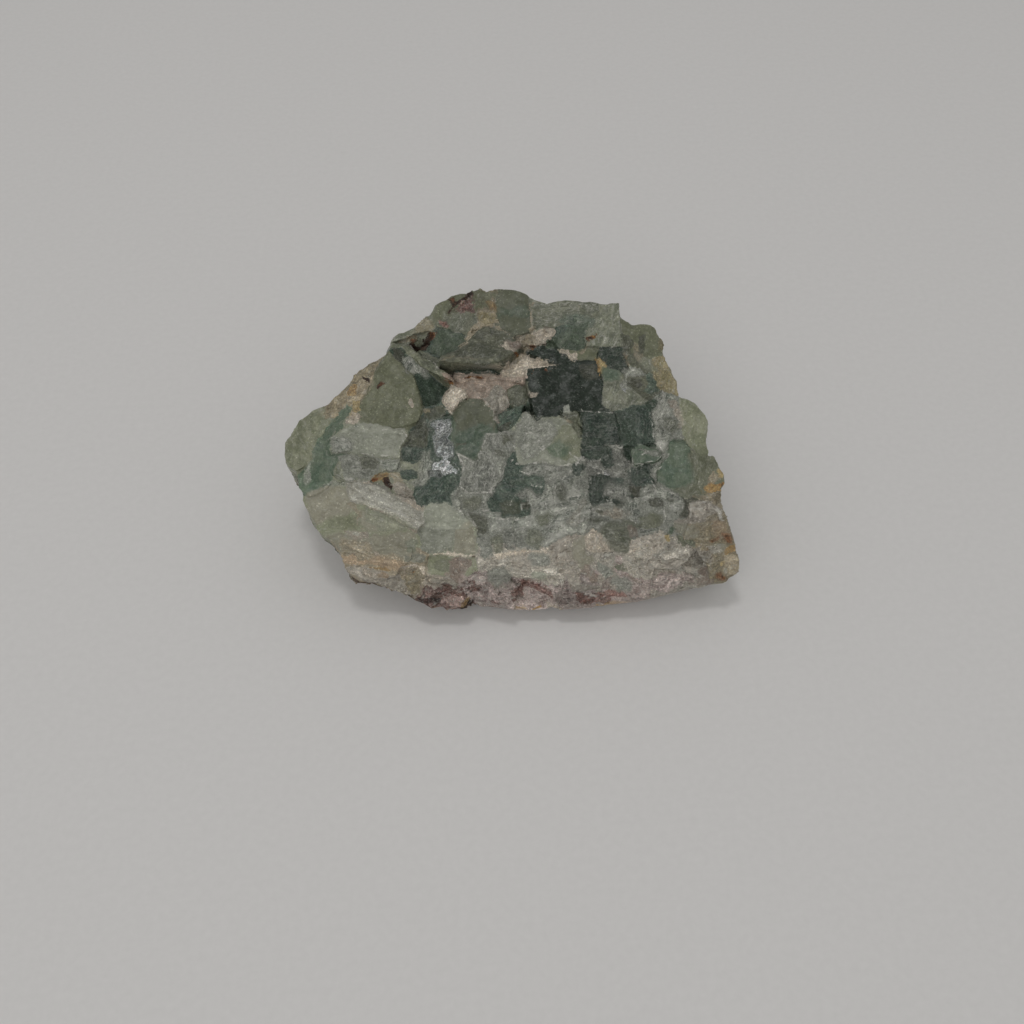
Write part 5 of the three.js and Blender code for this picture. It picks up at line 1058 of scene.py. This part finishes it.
class Painting:
    """The look of every point. Close to an edge it also holds the colours on either side of the edge, and
    how far outside the upper one's edge the point is, so that the material can draw the edge sharply."""

    def __init__(self, rows, upper, lower, outside):
        self.rows = rows
        self.upper = upper[:, :COLOURS].copy()
        self.lower = lower[:, :COLOURS].copy()
        self.outside = outside
        self.forget_far_edges(np.ones(len(rows), bool))

    def forget_far_edges(self, where):
        far = where & (np.abs(self.outside) > EDGE_REACH)
        self.upper[far] = self.rows[far, :COLOURS]
        self.lower[far] = self.rows[far, :COLOURS]

    def add(self, patch, flat, wander, here):
        """Lays a patch over the looks, with a ragged edge."""
        corners, soft = patch.outline, patch.soft
        low, high = corners.min(0) - MARGIN, corners.max(0) + MARGIN
        near = np.flatnonzero(((flat > low) & (flat < high)).all(1) & (here > BARELY))
        outside = distance_to_outline(flat[near], np.broadcast_to(corners, (len(near), *corners.shape)))
        outside += (WANDERS[0] + WANDERS[1] * soft) * wander[near]
        look = look_row(patch.look, patch.light)
        width = FADES[0] + FADES[1] * soft
        if soft >= SOFT:
            share = (patch.strength * here[near] * smooth(width, -width, outside))[:, None]
            self.rows[near] = self.rows[near] * (1 - share) + look * share
            for colours in (self.upper, self.lower):
                colours[near] = colours[near] * (1 - share) + look[:COLOURS] * share
            return
        close = (outside < EDGE_REACH) & (here[near] > MOSTLY)
        near, outside = near[close], outside[close]
        painted = self.rows[near] * (1 - patch.strength) + look * patch.strength
        inside = outside < 0
        nearest = inside | (np.abs(outside) < np.abs(self.outside[near]))
        self.upper[near[nearest]] = painted[nearest, :COLOURS]
        self.lower[near[nearest]] = self.rows[near[nearest], :COLOURS]
        self.outside[near[nearest]] = outside[nearest]
        self.rows[near[inside]] = painted[inside]
        covered = np.zeros(len(self.rows), bool)
        covered[near[inside]] = True
        self.forget_far_edges(covered)


NO_VEIN = 9.0  # the distance where there are no fine lines


def vein_distance(flat, veins):
    """How far each point is from the nearest fine line."""
    nearest = np.full(len(flat), NO_VEIN)
    for vein in veins:
        for start, end in zip(vein[:-1], vein[1:]):
            side = end - start
            along = np.clip(((flat - start) @ side) / (side @ side), 0, 1)
            nearest = np.minimum(nearest, np.linalg.norm(flat - start - along[:, None] * side, axis=1))
    return nearest


def painted(points, normals):
    """The look of each point, the colours above and below the nearest edge and how far it is from that
    edge, its crystal coordinates, and how near it is to another crystal and to a pale line."""
    owner, runner, gap = whose(points)
    local = inside_frame(points, FACE)
    band_local = inside_frame(points, BAND)
    lay = local.copy()
    crystals = [(c, local) for c in FACE_CRYSTALS] + [(c, band_local) for c in BAND_LUMPS]
    for number, (crystal, where) in enumerate(crystals):
        mine = owner == number
        lay[mine] = turned(where[mine], crystal.angle, number)
    looks = np.stack([look_row(c.look, c.light) for c, _ in crystals] + [look_row("dusk")])
    first = owner < runner
    painting = Painting(looks[owner], looks[np.where(first, owner, runner)],
                        looks[np.where(first, runner, owner)], np.where(first, -gap, gap) / 2)

    seen = seen_from_front(local, SIGHT_TILT)
    wander = sum(reach * layered(points, size, SEED["wander"] + i) for i, (size, reach) in enumerate(WANDER))
    painting.add(POCKET, seen, wander, (owner < 0) * 1.0)
    on_band = smooth(RIM_V + RIM_BLEND[0], RIM_V + RIM_BLEND[1], local[:, 1])
    on_band = np.where(band_local[:, 1] < BAND_BEGINS, 1, on_band * (band_local[:, 1] < BAND_ENDS))
    for patches, flat, here in (
        (FACE_PATCHES, seen, 1 - on_band),
        (BAND_PATCHES, band_local[:, :2], on_band),
    ):
        for patch in patches:
            painting.add(patch, flat, wander, here)
    veins = vein_distance(seen, FACE_VEINS) + NO_VEIN * (on_band > MOSTLY)

    # The broken sides, and the dark brown under the stone: its brown underside, with painted shade
    size, reach = SIDE_WANDER
    depth = -local[:, 2] + reach * layered(points, size, SEED["side"])
    side = smooth(*SIDE_DEPTH, depth) * smooth(*SIDE_FACING, normals[:, 2])
    side *= smooth(*BAND_FACING, normals @ BAND[1][:, 2]) + smooth(*BAND_DEPTH, band_local[:, 2])
    side = np.clip(side, 0, 1)
    size, reach = SIDE_BEND
    bent = points + reach * layered_ways(points, size)
    key, _, border = cells_of(bent, SIDE_CELL, SEED["side_cells"])
    pick = (hashed(key, SEED["side_pick"]) * len(SIDE_LOOKS)).astype(int)
    light = SIDE_LIGHT[0] + SIDE_LIGHT[1] * hashed(key, SEED["side_light"])
    side_rows = np.stack([look_row(name) for name in SIDE_LOOKS])[pick]
    side_rows[:, :COLOURS] *= light[:, None]
    share = side[:, None]
    rows = painting.rows * (1 - share) + side_rows * share
    sides = side_rows[:, :COLOURS] * share
    edges = [colours * (1 - share) + sides for colours in (painting.upper, painting.lower)]
    broken = side > MOSTLY
    lay[broken] = points[broken][:, [2, 0, 1]] + SIDE_APART * key[broken]
    size, reach = UNDERSIDE_WANDER
    under = smooth(*UNDERSIDE_FACING, normals[:, 2] + reach * layered(points, size, SEED["crust"]))
    crust = look_row("crust")
    share = UNDERSIDE_DARKENING * under[:, None]
    rows = rows * (1 - share) + crust * share
    upper, lower = (colours * (1 - share) + crust[:COLOURS] * share for colours in edges)
    gap = np.where(broken, border, gap)
    veins = np.where(side > VEINS_END, NO_VEIN, veins)
    return rows, upper, lower, painting.outside, lay, gap, veins


def layered_ways(points, size):
    return np.stack([layered(points, size, SEED["bend"] + 7 * axis) for axis in range(3)], axis=1)


# Relief, in millimetres or in the height of a look's steps
STEP_HEIGHT, STEP_TILT = 0.55, 1.1  # how much a step differs in height, and in tilt
BROAD, FINE, RIDGES, GRIT = 0.8, 0.45, 0.25, 0.15  # how much of each there is in the relief
FINER = 2.3  # how many times smaller the fine steps are
SWELL, SWELL_WIDTH = 0.07, 6  # the broadest waves
RIDGE_SHAPE = np.array((5, 0.8, 0.8))  # ridges are long along the streaks
RIDGED = (1.4, 1.8)  # looks are ridged where they are stretched by more than this


def steps(lay, rows, seed, finer):
    """Cleavage steps: every cell of the broken surface is a little plane with its own height and tilt."""
    cell = column(rows, "cell") / finer
    stretch = column(rows, "stretch")
    scaled = lay / cell[:, None]
    scaled[:, 0] /= stretch
    key, away, _ = cells_of(scaled, 1, seed)
    height = 2 * hashed(key, seed + 5) - 1
    tilt = np.stack([2 * hashed(key, seed + 6 + axis) - 1 for axis in range(3)], axis=1)
    return STEP_HEIGHT * height + STEP_TILT * (away * tilt).sum(1)


def relief(points, lay, rows):
    """How far each point is pushed out of the stone, in millimetres."""
    step = column(rows, "step")
    broad = steps(lay, rows, SEED["broad"], 1)
    fine = steps(lay, rows, SEED["fine"], FINER)
    ridges = noise(lay / RIDGE_SHAPE, 1, SEED["ridges"]) * smooth(*RIDGED, column(rows, "stretch"))
    grit = layered(points, 1, SEED["grit"])
    height = step * (BROAD * broad + FINE * fine + RIDGES * ridges + GRIT * grit)
    return height + SWELL * layered(points, SWELL_WIDTH, SEED["swell"])


def ragged(points):
    """A wander that makes the crystals' edges uneven, the same for points close together."""
    total = np.zeros((len(points), 3))
    for size, reach in RAGGED:
        total += reach * np.stack([noise(points, size, SEED["ragged"] + axis) for axis in range(3)], axis=1)
    return total


GRID_CELL = 1.5  # the squares in which the face's broad shape is measured, in millimetres
GRID_HALF = 45  # half the width of their grid
GRID_ROUNDS = 6  # how often it is smoothed
EMPTY = 1e-3  # squares with less than this in them count as empty
FACING_OUT = 0.6  # only what faces the way the face does is measured
FACE_DEPTH = (-4, -2)  # below the first depth nothing is lowered, and above the second all is
POCKET_MIDDLE, POCKET_REACH = (-3, 4), (9, 5)  # the hollow that keeps its depth
POCKET_EDGE = (0.9, 1.5)  # it ends between these, in its own reaches


def flattened(points, normals):
    """The way back that lowers each crystal towards the face's broad shape, except round the pocket."""
    local = inside_frame(points, FACE)
    place = (local[:, :2] + GRID_HALF) / GRID_CELL
    top = (normals @ FACE[1][:, 2] > FACING_OUT) & (local[:, 2] > FACE_DEPTH[0])
    squares = tuple(np.floor(place).astype(int)[top].T)
    shape = (int(2 * GRID_HALF / GRID_CELL) + 1,) * 2
    total, count = np.zeros(shape), np.zeros(shape)
    np.add.at(total, squares, local[top, 2])
    np.add.at(count, squares, 1)
    for _ in range(GRID_ROUNDS):
        total, count = spread(total), spread(count)
    broad = total / np.maximum(count, EMPTY)
    base = np.floor(place - 0.5).astype(int)
    part = place - 0.5 - base
    level = np.zeros(len(points))
    for corner in np.ndindex(2, 2):
        weight = np.prod(np.where(corner, part, 1 - part), axis=1)
        level += weight * broad[tuple((base + corner).T)]
    pocket = np.linalg.norm((local[:, :2] - POCKET_MIDDLE) / POCKET_REACH, axis=1)
    share = (1 - RELIEF_KEPT) * smooth(*POCKET_EDGE, pocket) * smooth(*FACE_DEPTH, local[:, 2])
    return -(share * (local[:, 2] - level))[:, None] * FACE[1][:, 2]


def spread(values):
    """Each value drawn towards its neighbours on the grid."""
    for axis in range(2):
        values = 0.5 * values + 0.25 * (np.roll(values, 1, axis) + np.roll(values, -1, axis))
    return values


def edge_ends(mesh):
    ends = np.zeros(len(mesh.edges) * 2, np.int32)
    mesh.edges.foreach_get("vertices", ends)
    return ends.reshape(-1, 2)


def settled(mesh, outside):
    """Points far from every colour edge are put on the side of their neighbours near one, so that no
    false edge shows between them."""
    ends = edge_ends(mesh)
    near = np.abs(outside) <= EDGE_REACH
    total, count = np.zeros(len(outside)), np.zeros(len(outside))
    for here, there in ((0, 1), (1, 0)):
        known = near[ends[:, there]]
        total += np.bincount(ends[:, here], outside[ends[:, there]] * known, len(outside))
        count += np.bincount(ends[:, here], known, len(outside))
    return np.where(near | (count == 0), outside, total / np.maximum(count, 1))


def eased(mesh, values, rounds, own=1):
    """Every row of values drawn towards those of its neighbours on the mesh."""
    ends = edge_ends(mesh)
    count = np.bincount(ends.ravel(), minlength=len(values)) + own
    for _ in range(rounds):
        total = values * own
        for i in range(values.shape[1]):
            for here, there in ((0, 1), (1, 0)):
                total[:, i] += np.bincount(ends[:, here], values[ends[:, there], i], len(values))
        values = total / count[:, None]
    return values


def store(mesh, name, kind, field, values):
    attribute = mesh.attributes.new(name, kind, "POINT")
    attribute.data.foreach_set(field, np.ascontiguousarray(values, np.float32).ravel())


def store_colour(mesh, name, rgb):
    store(mesh, name, "FLOAT_COLOR", "color", np.column_stack([rgb, np.ones(len(rgb))]))


def finished_stone():
    stone = fine_stone()
    mesh = stone.data
    points = vectors(mesh, mesh.vertices, "co")
    normals = unit(eased(mesh, vectors(mesh, mesh.vertex_normals, "vector"), NORMAL_SMOOTHING))
    rows, upper, lower, outside, lay, gap, veins = painted(points, normals)
    rows = eased(mesh, rows, 1, LOOK_SMOOTHING)
    height = relief(points, lay, rows)
    moved = points + normals * height[:, None] + flattened(points, normals) + ragged(points)
    low, high = np.array(cad_box) / MM
    moved = np.clip(moved, low, high) * MM
    mesh.vertices.foreach_set("co", moved.astype(np.float32).ravel())
    mesh.update()
    for name, colours in (("upper", upper), ("lower", lower)):
        store_colour(mesh, name + "_tint", colours[:, :3])
        store_colour(mesh, name + "_shade", colours[:, 3:])
    store(mesh, "outside", "FLOAT", "value", np.clip(settled(mesh, outside), -1, 1))
    store_colour(mesh, "wear", rows[:, COLOURS : COLOURS + 3])
    rough, iron, plate = (column(rows, name) for name in ("rough", "iron", "plate"))
    store_colour(mesh, "marks", np.stack([rough, iron, np.clip(gap, 0, 1)], axis=1))
    store(mesh, "plate", "FLOAT", "value", plate)
    store(mesh, "vein", "FLOAT", "value", np.clip(veins, 0, 1))
    lay[:, 0] /= column(rows, "stretch")
    store(mesh, "lay", "FLOAT_VECTOR", "vector", lay)
    mesh.polygons.foreach_set("use_smooth", np.ones(len(mesh.polygons), bool))
    mesh.set_sharp_from_angle(angle=math.radians(SHARP_ANGLE))
    return stone


# Node helpers
def put(tree, socket, value):
    """Links a value to a socket, or sets it there."""
    if isinstance(value, bpy.types.NodeSocket):
        tree.links.new(value, socket)
    else:
        socket.default_value = value


def made(tree, kind, inputs=None, **settings):
    """A node with its inputs, by name or number, and its settings."""
    node = tree.nodes.new("ShaderNode" + kind)
    for name, value in settings.items():
        setattr(node, name, value)
    for name, value in (inputs or {}).items():
        put(tree, node.inputs[name], value)
    return node


def maths(tree, operation, a, b):
    return made(tree, "Math", {0: a, 1: b}, operation=operation).outputs[0]


def over(tree, share, under, upper, mode="MIX"):
    """One colour laid over another."""
    inputs = {0: share, 6: under, 7: upper}
    return made(tree, "Mix", inputs, data_type="RGBA", blend_type=mode).outputs[2]


def between(tree, value, low, high, out_low=0.0, out_high=1.0):
    """A smooth rise from one level to another."""
    inputs = {"Value": value, "From Min": low, "From Max": high, "To Min": out_low, "To Max": out_high}
    return made(tree, "MapRange", inputs, interpolation_type="SMOOTHSTEP").outputs["Result"]


def stretched(tree, vector, scale):
    return made(tree, "Mapping", {"Vector": vector, "Scale": scale}).outputs["Vector"]


def cloud(tree, vector, scale, detail=4.0, rough=0.55, distortion=0.0):
    inputs = {"Vector": vector, "Scale": scale, "Detail": detail, "Roughness": rough}
    return made(tree, "TexNoise", {**inputs, "Distortion": distortion}).outputs["Fac"]


def cracks(tree, vector, scale, width):
    """Thin lines between scattered cells."""
    cells = made(tree, "TexVoronoi", {"Vector": vector, "Scale": scale}, feature="DISTANCE_TO_EDGE")
    return between(tree, cells.outputs["Distance"], width, 0.0)


def plates_of(tree, vector, scale):
    """A colour of its own for each of the scattered square cells."""
    cells = made(tree, "TexVoronoi", {"Vector": vector, "Scale": scale}, distance="CHEBYCHEV")
    return cells.outputs["Color"]


def parts(tree, colour):
    return made(tree, "SeparateColor", {"Color": colour}).outputs


def vectors_of(tree, operation, *inputs):
    return made(tree, "VectorMath", dict(enumerate(inputs)), operation=operation).outputs[0]


def times_vector(tree, vector, scale):
    return made(tree, "VectorMath", {0: vector, "Scale": scale}, operation="SCALE").outputs[0]


def bent_by_noise(tree, vector, scale, reach):
    """A vector moved about by noise."""
    bend = made(tree, "TexNoise", {"Vector": vector, "Scale": scale, "Detail": 2.0}).outputs["Color"]
    return vectors_of(tree, "ADD", times_vector(tree, bend, reach), vector)


def finish_material(material, tree, inputs):
    """Gives a material its surface."""
    surface = made(tree, "BsdfPrincipled", inputs)
    put(tree, made(tree, "OutputMaterial").inputs["Surface"], surface.outputs["BSDF"])
    return material


def new_material(name):
    material = bpy.data.materials.new(name)
    material.use_nodes = True
    material.node_tree.nodes.clear()
    return material, material.node_tree


# Colours of the marks on the stone, and how its surface takes the light
FROST = (0.5, 0.5, 0.45, 1)
FLECK = (0.62, 0.61, 0.55, 1)
# the painted glints of small facets: how many times lighter they make the colour, and what they add
FACET_GLINT_GAIN = (1.6, 1.6, 1.6, 1)
FACET_GLINT_LEAST = (0.035, 0.035, 0.035, 1)
VEIN = (0.68, 0.67, 0.61, 1)
DARK_RUST = (0.045, 0.02, 0.01, 1)
RUST = (0.2, 0.085, 0.035, 1)
ORANGE = (0.5, 0.29, 0.09, 1)
IOR = 1.434
SPECULAR = 0.4
GLOW = 0.25  # the share of light that goes into the cloudy stone
GLOW_RADIUS = (1.0, 1.1, 0.9)
GLOW_DEPTH = 0.8 * MM
BUMP_DEPTH = 0.1 * MM
PLATE_SCALES = (0.85, 2.1, 4.6)
SMOOTHEST = 0.12
PALEST = 0.75  # the most frost there is anywhere
# The noises of the material: how fine, how many details, how rough, and how distorted
NOISE = dict(grit=(3.4, 5.0, 0.75), spread=(1.1, 3.0), edges=(2.4, 4.0, 0.65), clouds=(0.42, 7.0, 0.68, 0.8),
             veils=(0.8, 6.0, 0.68, 0.4), scratches=(0.7, 3.0), traces=(0.5, 3.0), wobble=(1.7, 4.0, 0.7),
             breaks=(0.85, 4.0, 0.6), chips=(2.6, 3.0, 0.6), blotches=(0.55, 5.0, 0.65), hue=(1.3, 4.0, 0.6))
# The cracks of the material: how fine they are, and how wide
CRACK = dict(outlines=(0.6, 0.045), fine_outlines=(1.5, 0.07), scratches=(0.9, 0.05), traces=(1.0, 0.07))
# How the marks are drawn out, along the streaks, across them and in depth
DRAWN_OUT = dict(veils=(0.5, 1, 1), scratches=(0.16, 1.5, 1), traces=(0.1, 2.6, 1.3))
# How fine and how strong the bending of lines is
BEND = dict(plates=(1.3, 0.5), outlines=(0.9, 1.4), scratches=(0.3, 0.6))
# Between which values of its noise or distance each mark goes from none to all
FROM_TO = dict(edges=(-0.03, 0.03), clouds=(0.42, 0.58), grit=(0.4, 0.6), veils=(-0.07, 0.08),
               outlines=(0.44, 0.56), scratches=(0.5, 0.58), traces=(0.5, 0.57), gaps=(0.2, 0.06),
               rims=(0.46, 0.56), breaks=(0.44, 0.54), lines=(0.17, 0.08), glint_facets=(1.0, 1.004),
               chips=(0.74, 0.755), stain=(0.68, 0.86), rust=(0.4, 0.5), orange=(0.52, 0.62))
# How strong each mark is, and how much more of it a look's own share brings
STRENGTH = dict(plates=0.85, grit=0.8, veils=0.4, traces=0.8, pale=1.25, lines=0.7, glint_facets=0.8, chips=0.6,
                stain=0.75)
GAIN = dict(edges=0.9, veils=0.42, rims=0.5, glint_facets=0.2, chips=0.06, stain=0.42, tilts=1.1)
LEAST = dict(edges=0.45, plates=0.6, rims=0.18, tilts=0.08)  # what there is of a mark everywhere
GRIT_LIFT = (0.15, 1.9)  # how dark and how light the grit is
VEIL_LEVEL = 0.8
GAP_WOBBLE, VEIN_WOBBLE = 0.45, 0.8  # how much the rims and the pale lines waver
# how fine the facets of the painted glints are
GLINT_FACET_SCALE = 5.5
BUMPS = dict(grit=0.6, pale=0.5, lines=0.5)  # how high each mark stands
BUMP_STRENGTH = 0.6
ROUGHNESS_WANDER, STAIN_ROUGHNESS = 0.35, 0.2


def stone_material():
    material, tree = new_material("broken_fluorite")

    def stored(name, output="Color"):
        return made(tree, "Attribute", attribute_name=name).outputs[output]

    def times(*values):
        total = values[0]
        for value in values[1:]:
            total = maths(tree, "MULTIPLY", total, value)
        return total

    def plus(*values):
        total = values[0]
        for value in values[1:]:
            total = maths(tree, "ADD", total, value)
        return total

    lay = stored("lay", "Vector")
    frost, speck_and_glint, grain = parts(tree, stored("wear"))
    rough, iron, gap = parts(tree, stored("marks"))
    plate, vein = stored("plate", "Fac"), stored("vein", "Fac")
    place = made(tree, "TexCoord").outputs["Object"]
    place = stretched(tree, place, (1 / MM,) * 3)
    grit = cloud(tree, place, *NOISE["grit"])
    spread_out = cloud(tree, place, *NOISE["spread"])

    def fades(name, value):
        return between(tree, value, *FROM_TO[name])

    def centred(value):
        return maths(tree, "SUBTRACT", value, 0.5)

    # Sharp, ragged edges between the colours
    wander = centred(cloud(tree, place, *NOISE["edges"]))
    wander = times(wander, plus(times(frost, GAIN["edges"]), LEAST["edges"]))
    edge = fades("edges", plus(stored("outside", "Fac"), wander))
    tint = over(tree, edge, stored("upper_tint"), stored("lower_tint"))
    shade = over(tree, edge, stored("upper_shade"), stored("lower_shade"))

    # The crystal's own two colours, clouded into each other
    base = over(tree, fades("clouds", cloud(tree, lay, *NOISE["clouds"])), tint, shade)

    # Broken plates of three sizes, each a little lighter or darker, and tilted its own way
    bent = bent_by_noise(tree, lay, *BEND["plates"])
    layers = [plates_of(tree, bent, scale) for scale in PLATE_SCALES]
    share, least = STRENGTH["plates"], LEAST["plates"]
    lift = times(*[plus(times(parts(tree, layer)[0], share), least) for layer in layers])
    base = over(tree, plate, base, over(tree, 1.0, base, lift, "MULTIPLY"))

    # Fine grit, light and dark
    lift = between(tree, grit, *FROM_TO["grit"], *GRIT_LIFT)
    base = over(tree, times(grain, STRENGTH["grit"]), base, over(tree, 1.0, base, lift, "MULTIPLY"))

    # Frosted veils, the outlines of the plates, and scratches
    clouded = cloud(tree, stretched(tree, lay, DRAWN_OUT["veils"]), *NOISE["veils"])
    level = maths(tree, "SUBTRACT", VEIL_LEVEL, times(frost, GAIN["veils"]))
    veil = fades("veils", maths(tree, "SUBTRACT", clouded, level))
    outlines = cracks(tree, bent_by_noise(tree, lay, *BEND["outlines"]), *CRACK["outlines"])
    outlines = maths(tree, "MAXIMUM", outlines, cracks(tree, bent, *CRACK["fine_outlines"]))
    outlines = times(outlines, fades("outlines", spread_out))
    drawn = stretched(tree, bent_by_noise(tree, lay, *BEND["scratches"]), DRAWN_OUT["scratches"])
    scratches = cracks(tree, drawn, *CRACK["scratches"])
    scratches = times(scratches, fades("scratches", cloud(tree, place, *NOISE["scratches"])))
    traces = cracks(tree, stretched(tree, bent, DRAWN_OUT["traces"]), *CRACK["traces"])
    traces = times(traces, fades("traces", cloud(tree, place, *NOISE["traces"])))
    marks = plus(outlines, scratches, times(traces, STRENGTH["traces"]))
    pale = plus(times(veil, STRENGTH["veils"]), times(marks, frost, STRENGTH["pale"]))
    base = over(tree, maths(tree, "MINIMUM", pale, PALEST), base, FROST)

    # Chipped pale rims where crystals meet, and the fine pale lines
    ragged_gap = plus(gap, times(centred(grit), GAP_WOBBLE))
    rims = times(fades("gaps", ragged_gap), fades("rims", spread_out))
    base = over(tree, times(rims, plus(times(frost, GAIN["rims"]), LEAST["rims"])), base, FROST)
    ragged_vein = plus(vein, times(centred(cloud(tree, place, *NOISE["wobble"])), VEIN_WOBBLE))
    lines = times(fades("lines", ragged_vein), fades("breaks", cloud(tree, place, *NOISE["breaks"])))
    base = over(tree, times(lines, STRENGTH["lines"]), base, VEIN)

    # White flecks: painted glints on small facets that would catch the light, and a few bigger pale chips
    glint_facets = parts(tree, plates_of(tree, place, GLINT_FACET_SCALE))[0]
    glint_facets = fades("glint_facets", plus(glint_facets, times(speck_and_glint, GAIN["glint_facets"])))
    chips = fades("chips", plus(cloud(tree, place, *NOISE["chips"]), times(speck_and_glint, GAIN["chips"])))
    facet_glint_colour = over(tree, 1.0, over(tree, 1.0, base, FACET_GLINT_GAIN, "MULTIPLY"), FACET_GLINT_LEAST, "ADD")
    base = over(tree, times(glint_facets, STRENGTH["glint_facets"]), base, facet_glint_colour)
    base = over(tree, times(chips, STRENGTH["chips"]), base, FLECK)

    # Iron stain, in rusty blotches
    rusty = fades("stain", plus(cloud(tree, place, *NOISE["blotches"]), times(iron, GAIN["stain"])))
    hue = cloud(tree, place, *NOISE["hue"])
    rust = over(tree, fades("rust", hue), DARK_RUST, RUST)
    rust = over(tree, fades("orange", hue), rust, ORANGE)
    base = over(tree, times(rusty, STRENGTH["stain"]), base, rust)

    # Relief finer than the mesh, and the tilt of each plate
    tilts = vectors_of(tree, "SUBTRACT", over(tree, 0.5, layers[0], layers[1]), (0.5, 0.5, 0.5))
    tilts = times_vector(tree, tilts, plus(times(plate, GAIN["tilts"]), LEAST["tilts"]))
    normal = vectors_of(tree, "ADD", made(tree, "NewGeometry").outputs["Normal"], tilts)
    normal = vectors_of(tree, "NORMALIZE", normal)
    height = plus(times(grit, BUMPS["grit"]), times(pale, BUMPS["pale"]), times(lines, BUMPS["lines"]))
    bump = {"Height": height, "Strength": BUMP_STRENGTH, "Distance": BUMP_DEPTH, "Normal": normal}
    normal = made(tree, "Bump", bump).outputs["Normal"]
    wandering = times(centred(spread_out), ROUGHNESS_WANDER)
    roughness = plus(rough, wandering, times(rusty, STAIN_ROUGHNESS))
    roughness = maths(tree, "MAXIMUM", roughness, SMOOTHEST)
    return finish_material(material, tree, {
        "Base Color": base,
        "Roughness": roughness,
        "IOR": IOR,
        "Specular IOR Level": SPECULAR,
        "Normal": normal,
        "Subsurface Weight": GLOW,
        "Subsurface Radius": GLOW_RADIUS,
        "Subsurface Scale": GLOW_DEPTH,
    })


stone = finished_stone()
stone.data.materials.clear()
stone.data.materials.append(stone_material())
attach(stone, "root")
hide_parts(NODE)


# The floor
FLOOR_HALF = 3
FLOOR_PALE = (0.8, 0.795, 0.79, 1)
FLOOR_SHADED = (0.74, 0.735, 0.73, 1)
FLOOR_WEAVE = (900.0, 2.0)
FLOOR_ROUGHNESS = 0.8


def floor_material():
    material, tree = new_material("pale_floor")
    weave = cloud(tree, made(tree, "TexCoord").outputs["Object"], *FLOOR_WEAVE)
    colour = over(tree, weave, FLOOR_SHADED, FLOOR_PALE)
    return finish_material(material, tree, {"Base Color": colour, "Roughness": FLOOR_ROUGHNESS})


def floor():
    corners = [(x * FLOOR_HALF, y * FLOOR_HALF, 0) for x, y in ((-1, -1), (1, -1), (1, 1), (-1, 1))]
    mesh = bpy.data.meshes.new("floor")
    mesh.from_pydata(corners, [], [(0, 1, 2, 3)])
    piece = bpy.data.objects.new("floor", mesh)
    bpy.context.scene.collection.objects.link(piece)
    mesh.materials.append(floor_material())


floor()


# Light: a lamp above, a wide one in front, and an even sky
def area_light(name, place, size, power, colour):
    data = bpy.data.lights.new(name, "AREA")
    data.shape = "DISK"
    data.size = size
    data.energy = power
    data.color = colour
    lamp = bpy.data.objects.new(name, data)
    lamp.location = place
    lamp.rotation_mode = "QUATERNION"
    lamp.rotation_quaternion = (-Vector(place)).to_track_quat("-Z", "Y")
    bpy.context.scene.collection.objects.link(lamp)


area_light("lamp", place=(-0.045, 0.034, 0.6), size=0.11, power=0.4, colour=(1, 0.985, 0.97))
area_light("window", place=(-0.25, -0.75, 0.75), size=0.8, power=1.95, colour=(1, 0.985, 0.95))

SKY_COLOUR = (1, 0.985, 0.967, 1)
SKY_STRENGTH = 0.385
world = bpy.data.worlds.new("sky")
world.use_nodes = True
sky = world.node_tree.nodes["Background"].inputs
sky["Color"].default_value = SKY_COLOUR
sky["Strength"].default_value = SKY_STRENGTH
bpy.context.scene.world = world
bpy.context.scene.view_settings.view_transform = "Standard"

# The camera, as the photograph was taken
CAMERA_PLACE = (0.45 * MM, -126.28 * MM, 160.8 * MM)
CAMERA_PITCH = 52.54
CAMERA_ROLL = -1.22
CAMERA_LENS = 42.19
SENSOR = 36
CLIP = (0.01, 20)


def camera():
    pitch, roll = math.radians(CAMERA_PITCH), math.radians(CAMERA_ROLL)
    ahead = Vector((0, math.cos(pitch), -math.sin(pitch)))
    right = Vector((1, 0, 0))
    up = right.cross(ahead)
    rolled = right * math.cos(roll) + up * math.sin(roll)
    top = up * math.cos(roll) - right * math.sin(roll)
    data = bpy.data.cameras.new("camera")
    data.lens = CAMERA_LENS
    data.sensor_width = SENSOR
    data.clip_start, data.clip_end = CLIP
    piece = bpy.data.objects.new("camera", data)
    turn = Matrix((rolled, top, -ahead)).transposed().to_4x4()
    piece.matrix_world = Matrix.Translation(CAMERA_PLACE) @ turn
    bpy.context.scene.collection.objects.link(piece)
    bpy.context.scene.camera = piece


camera()
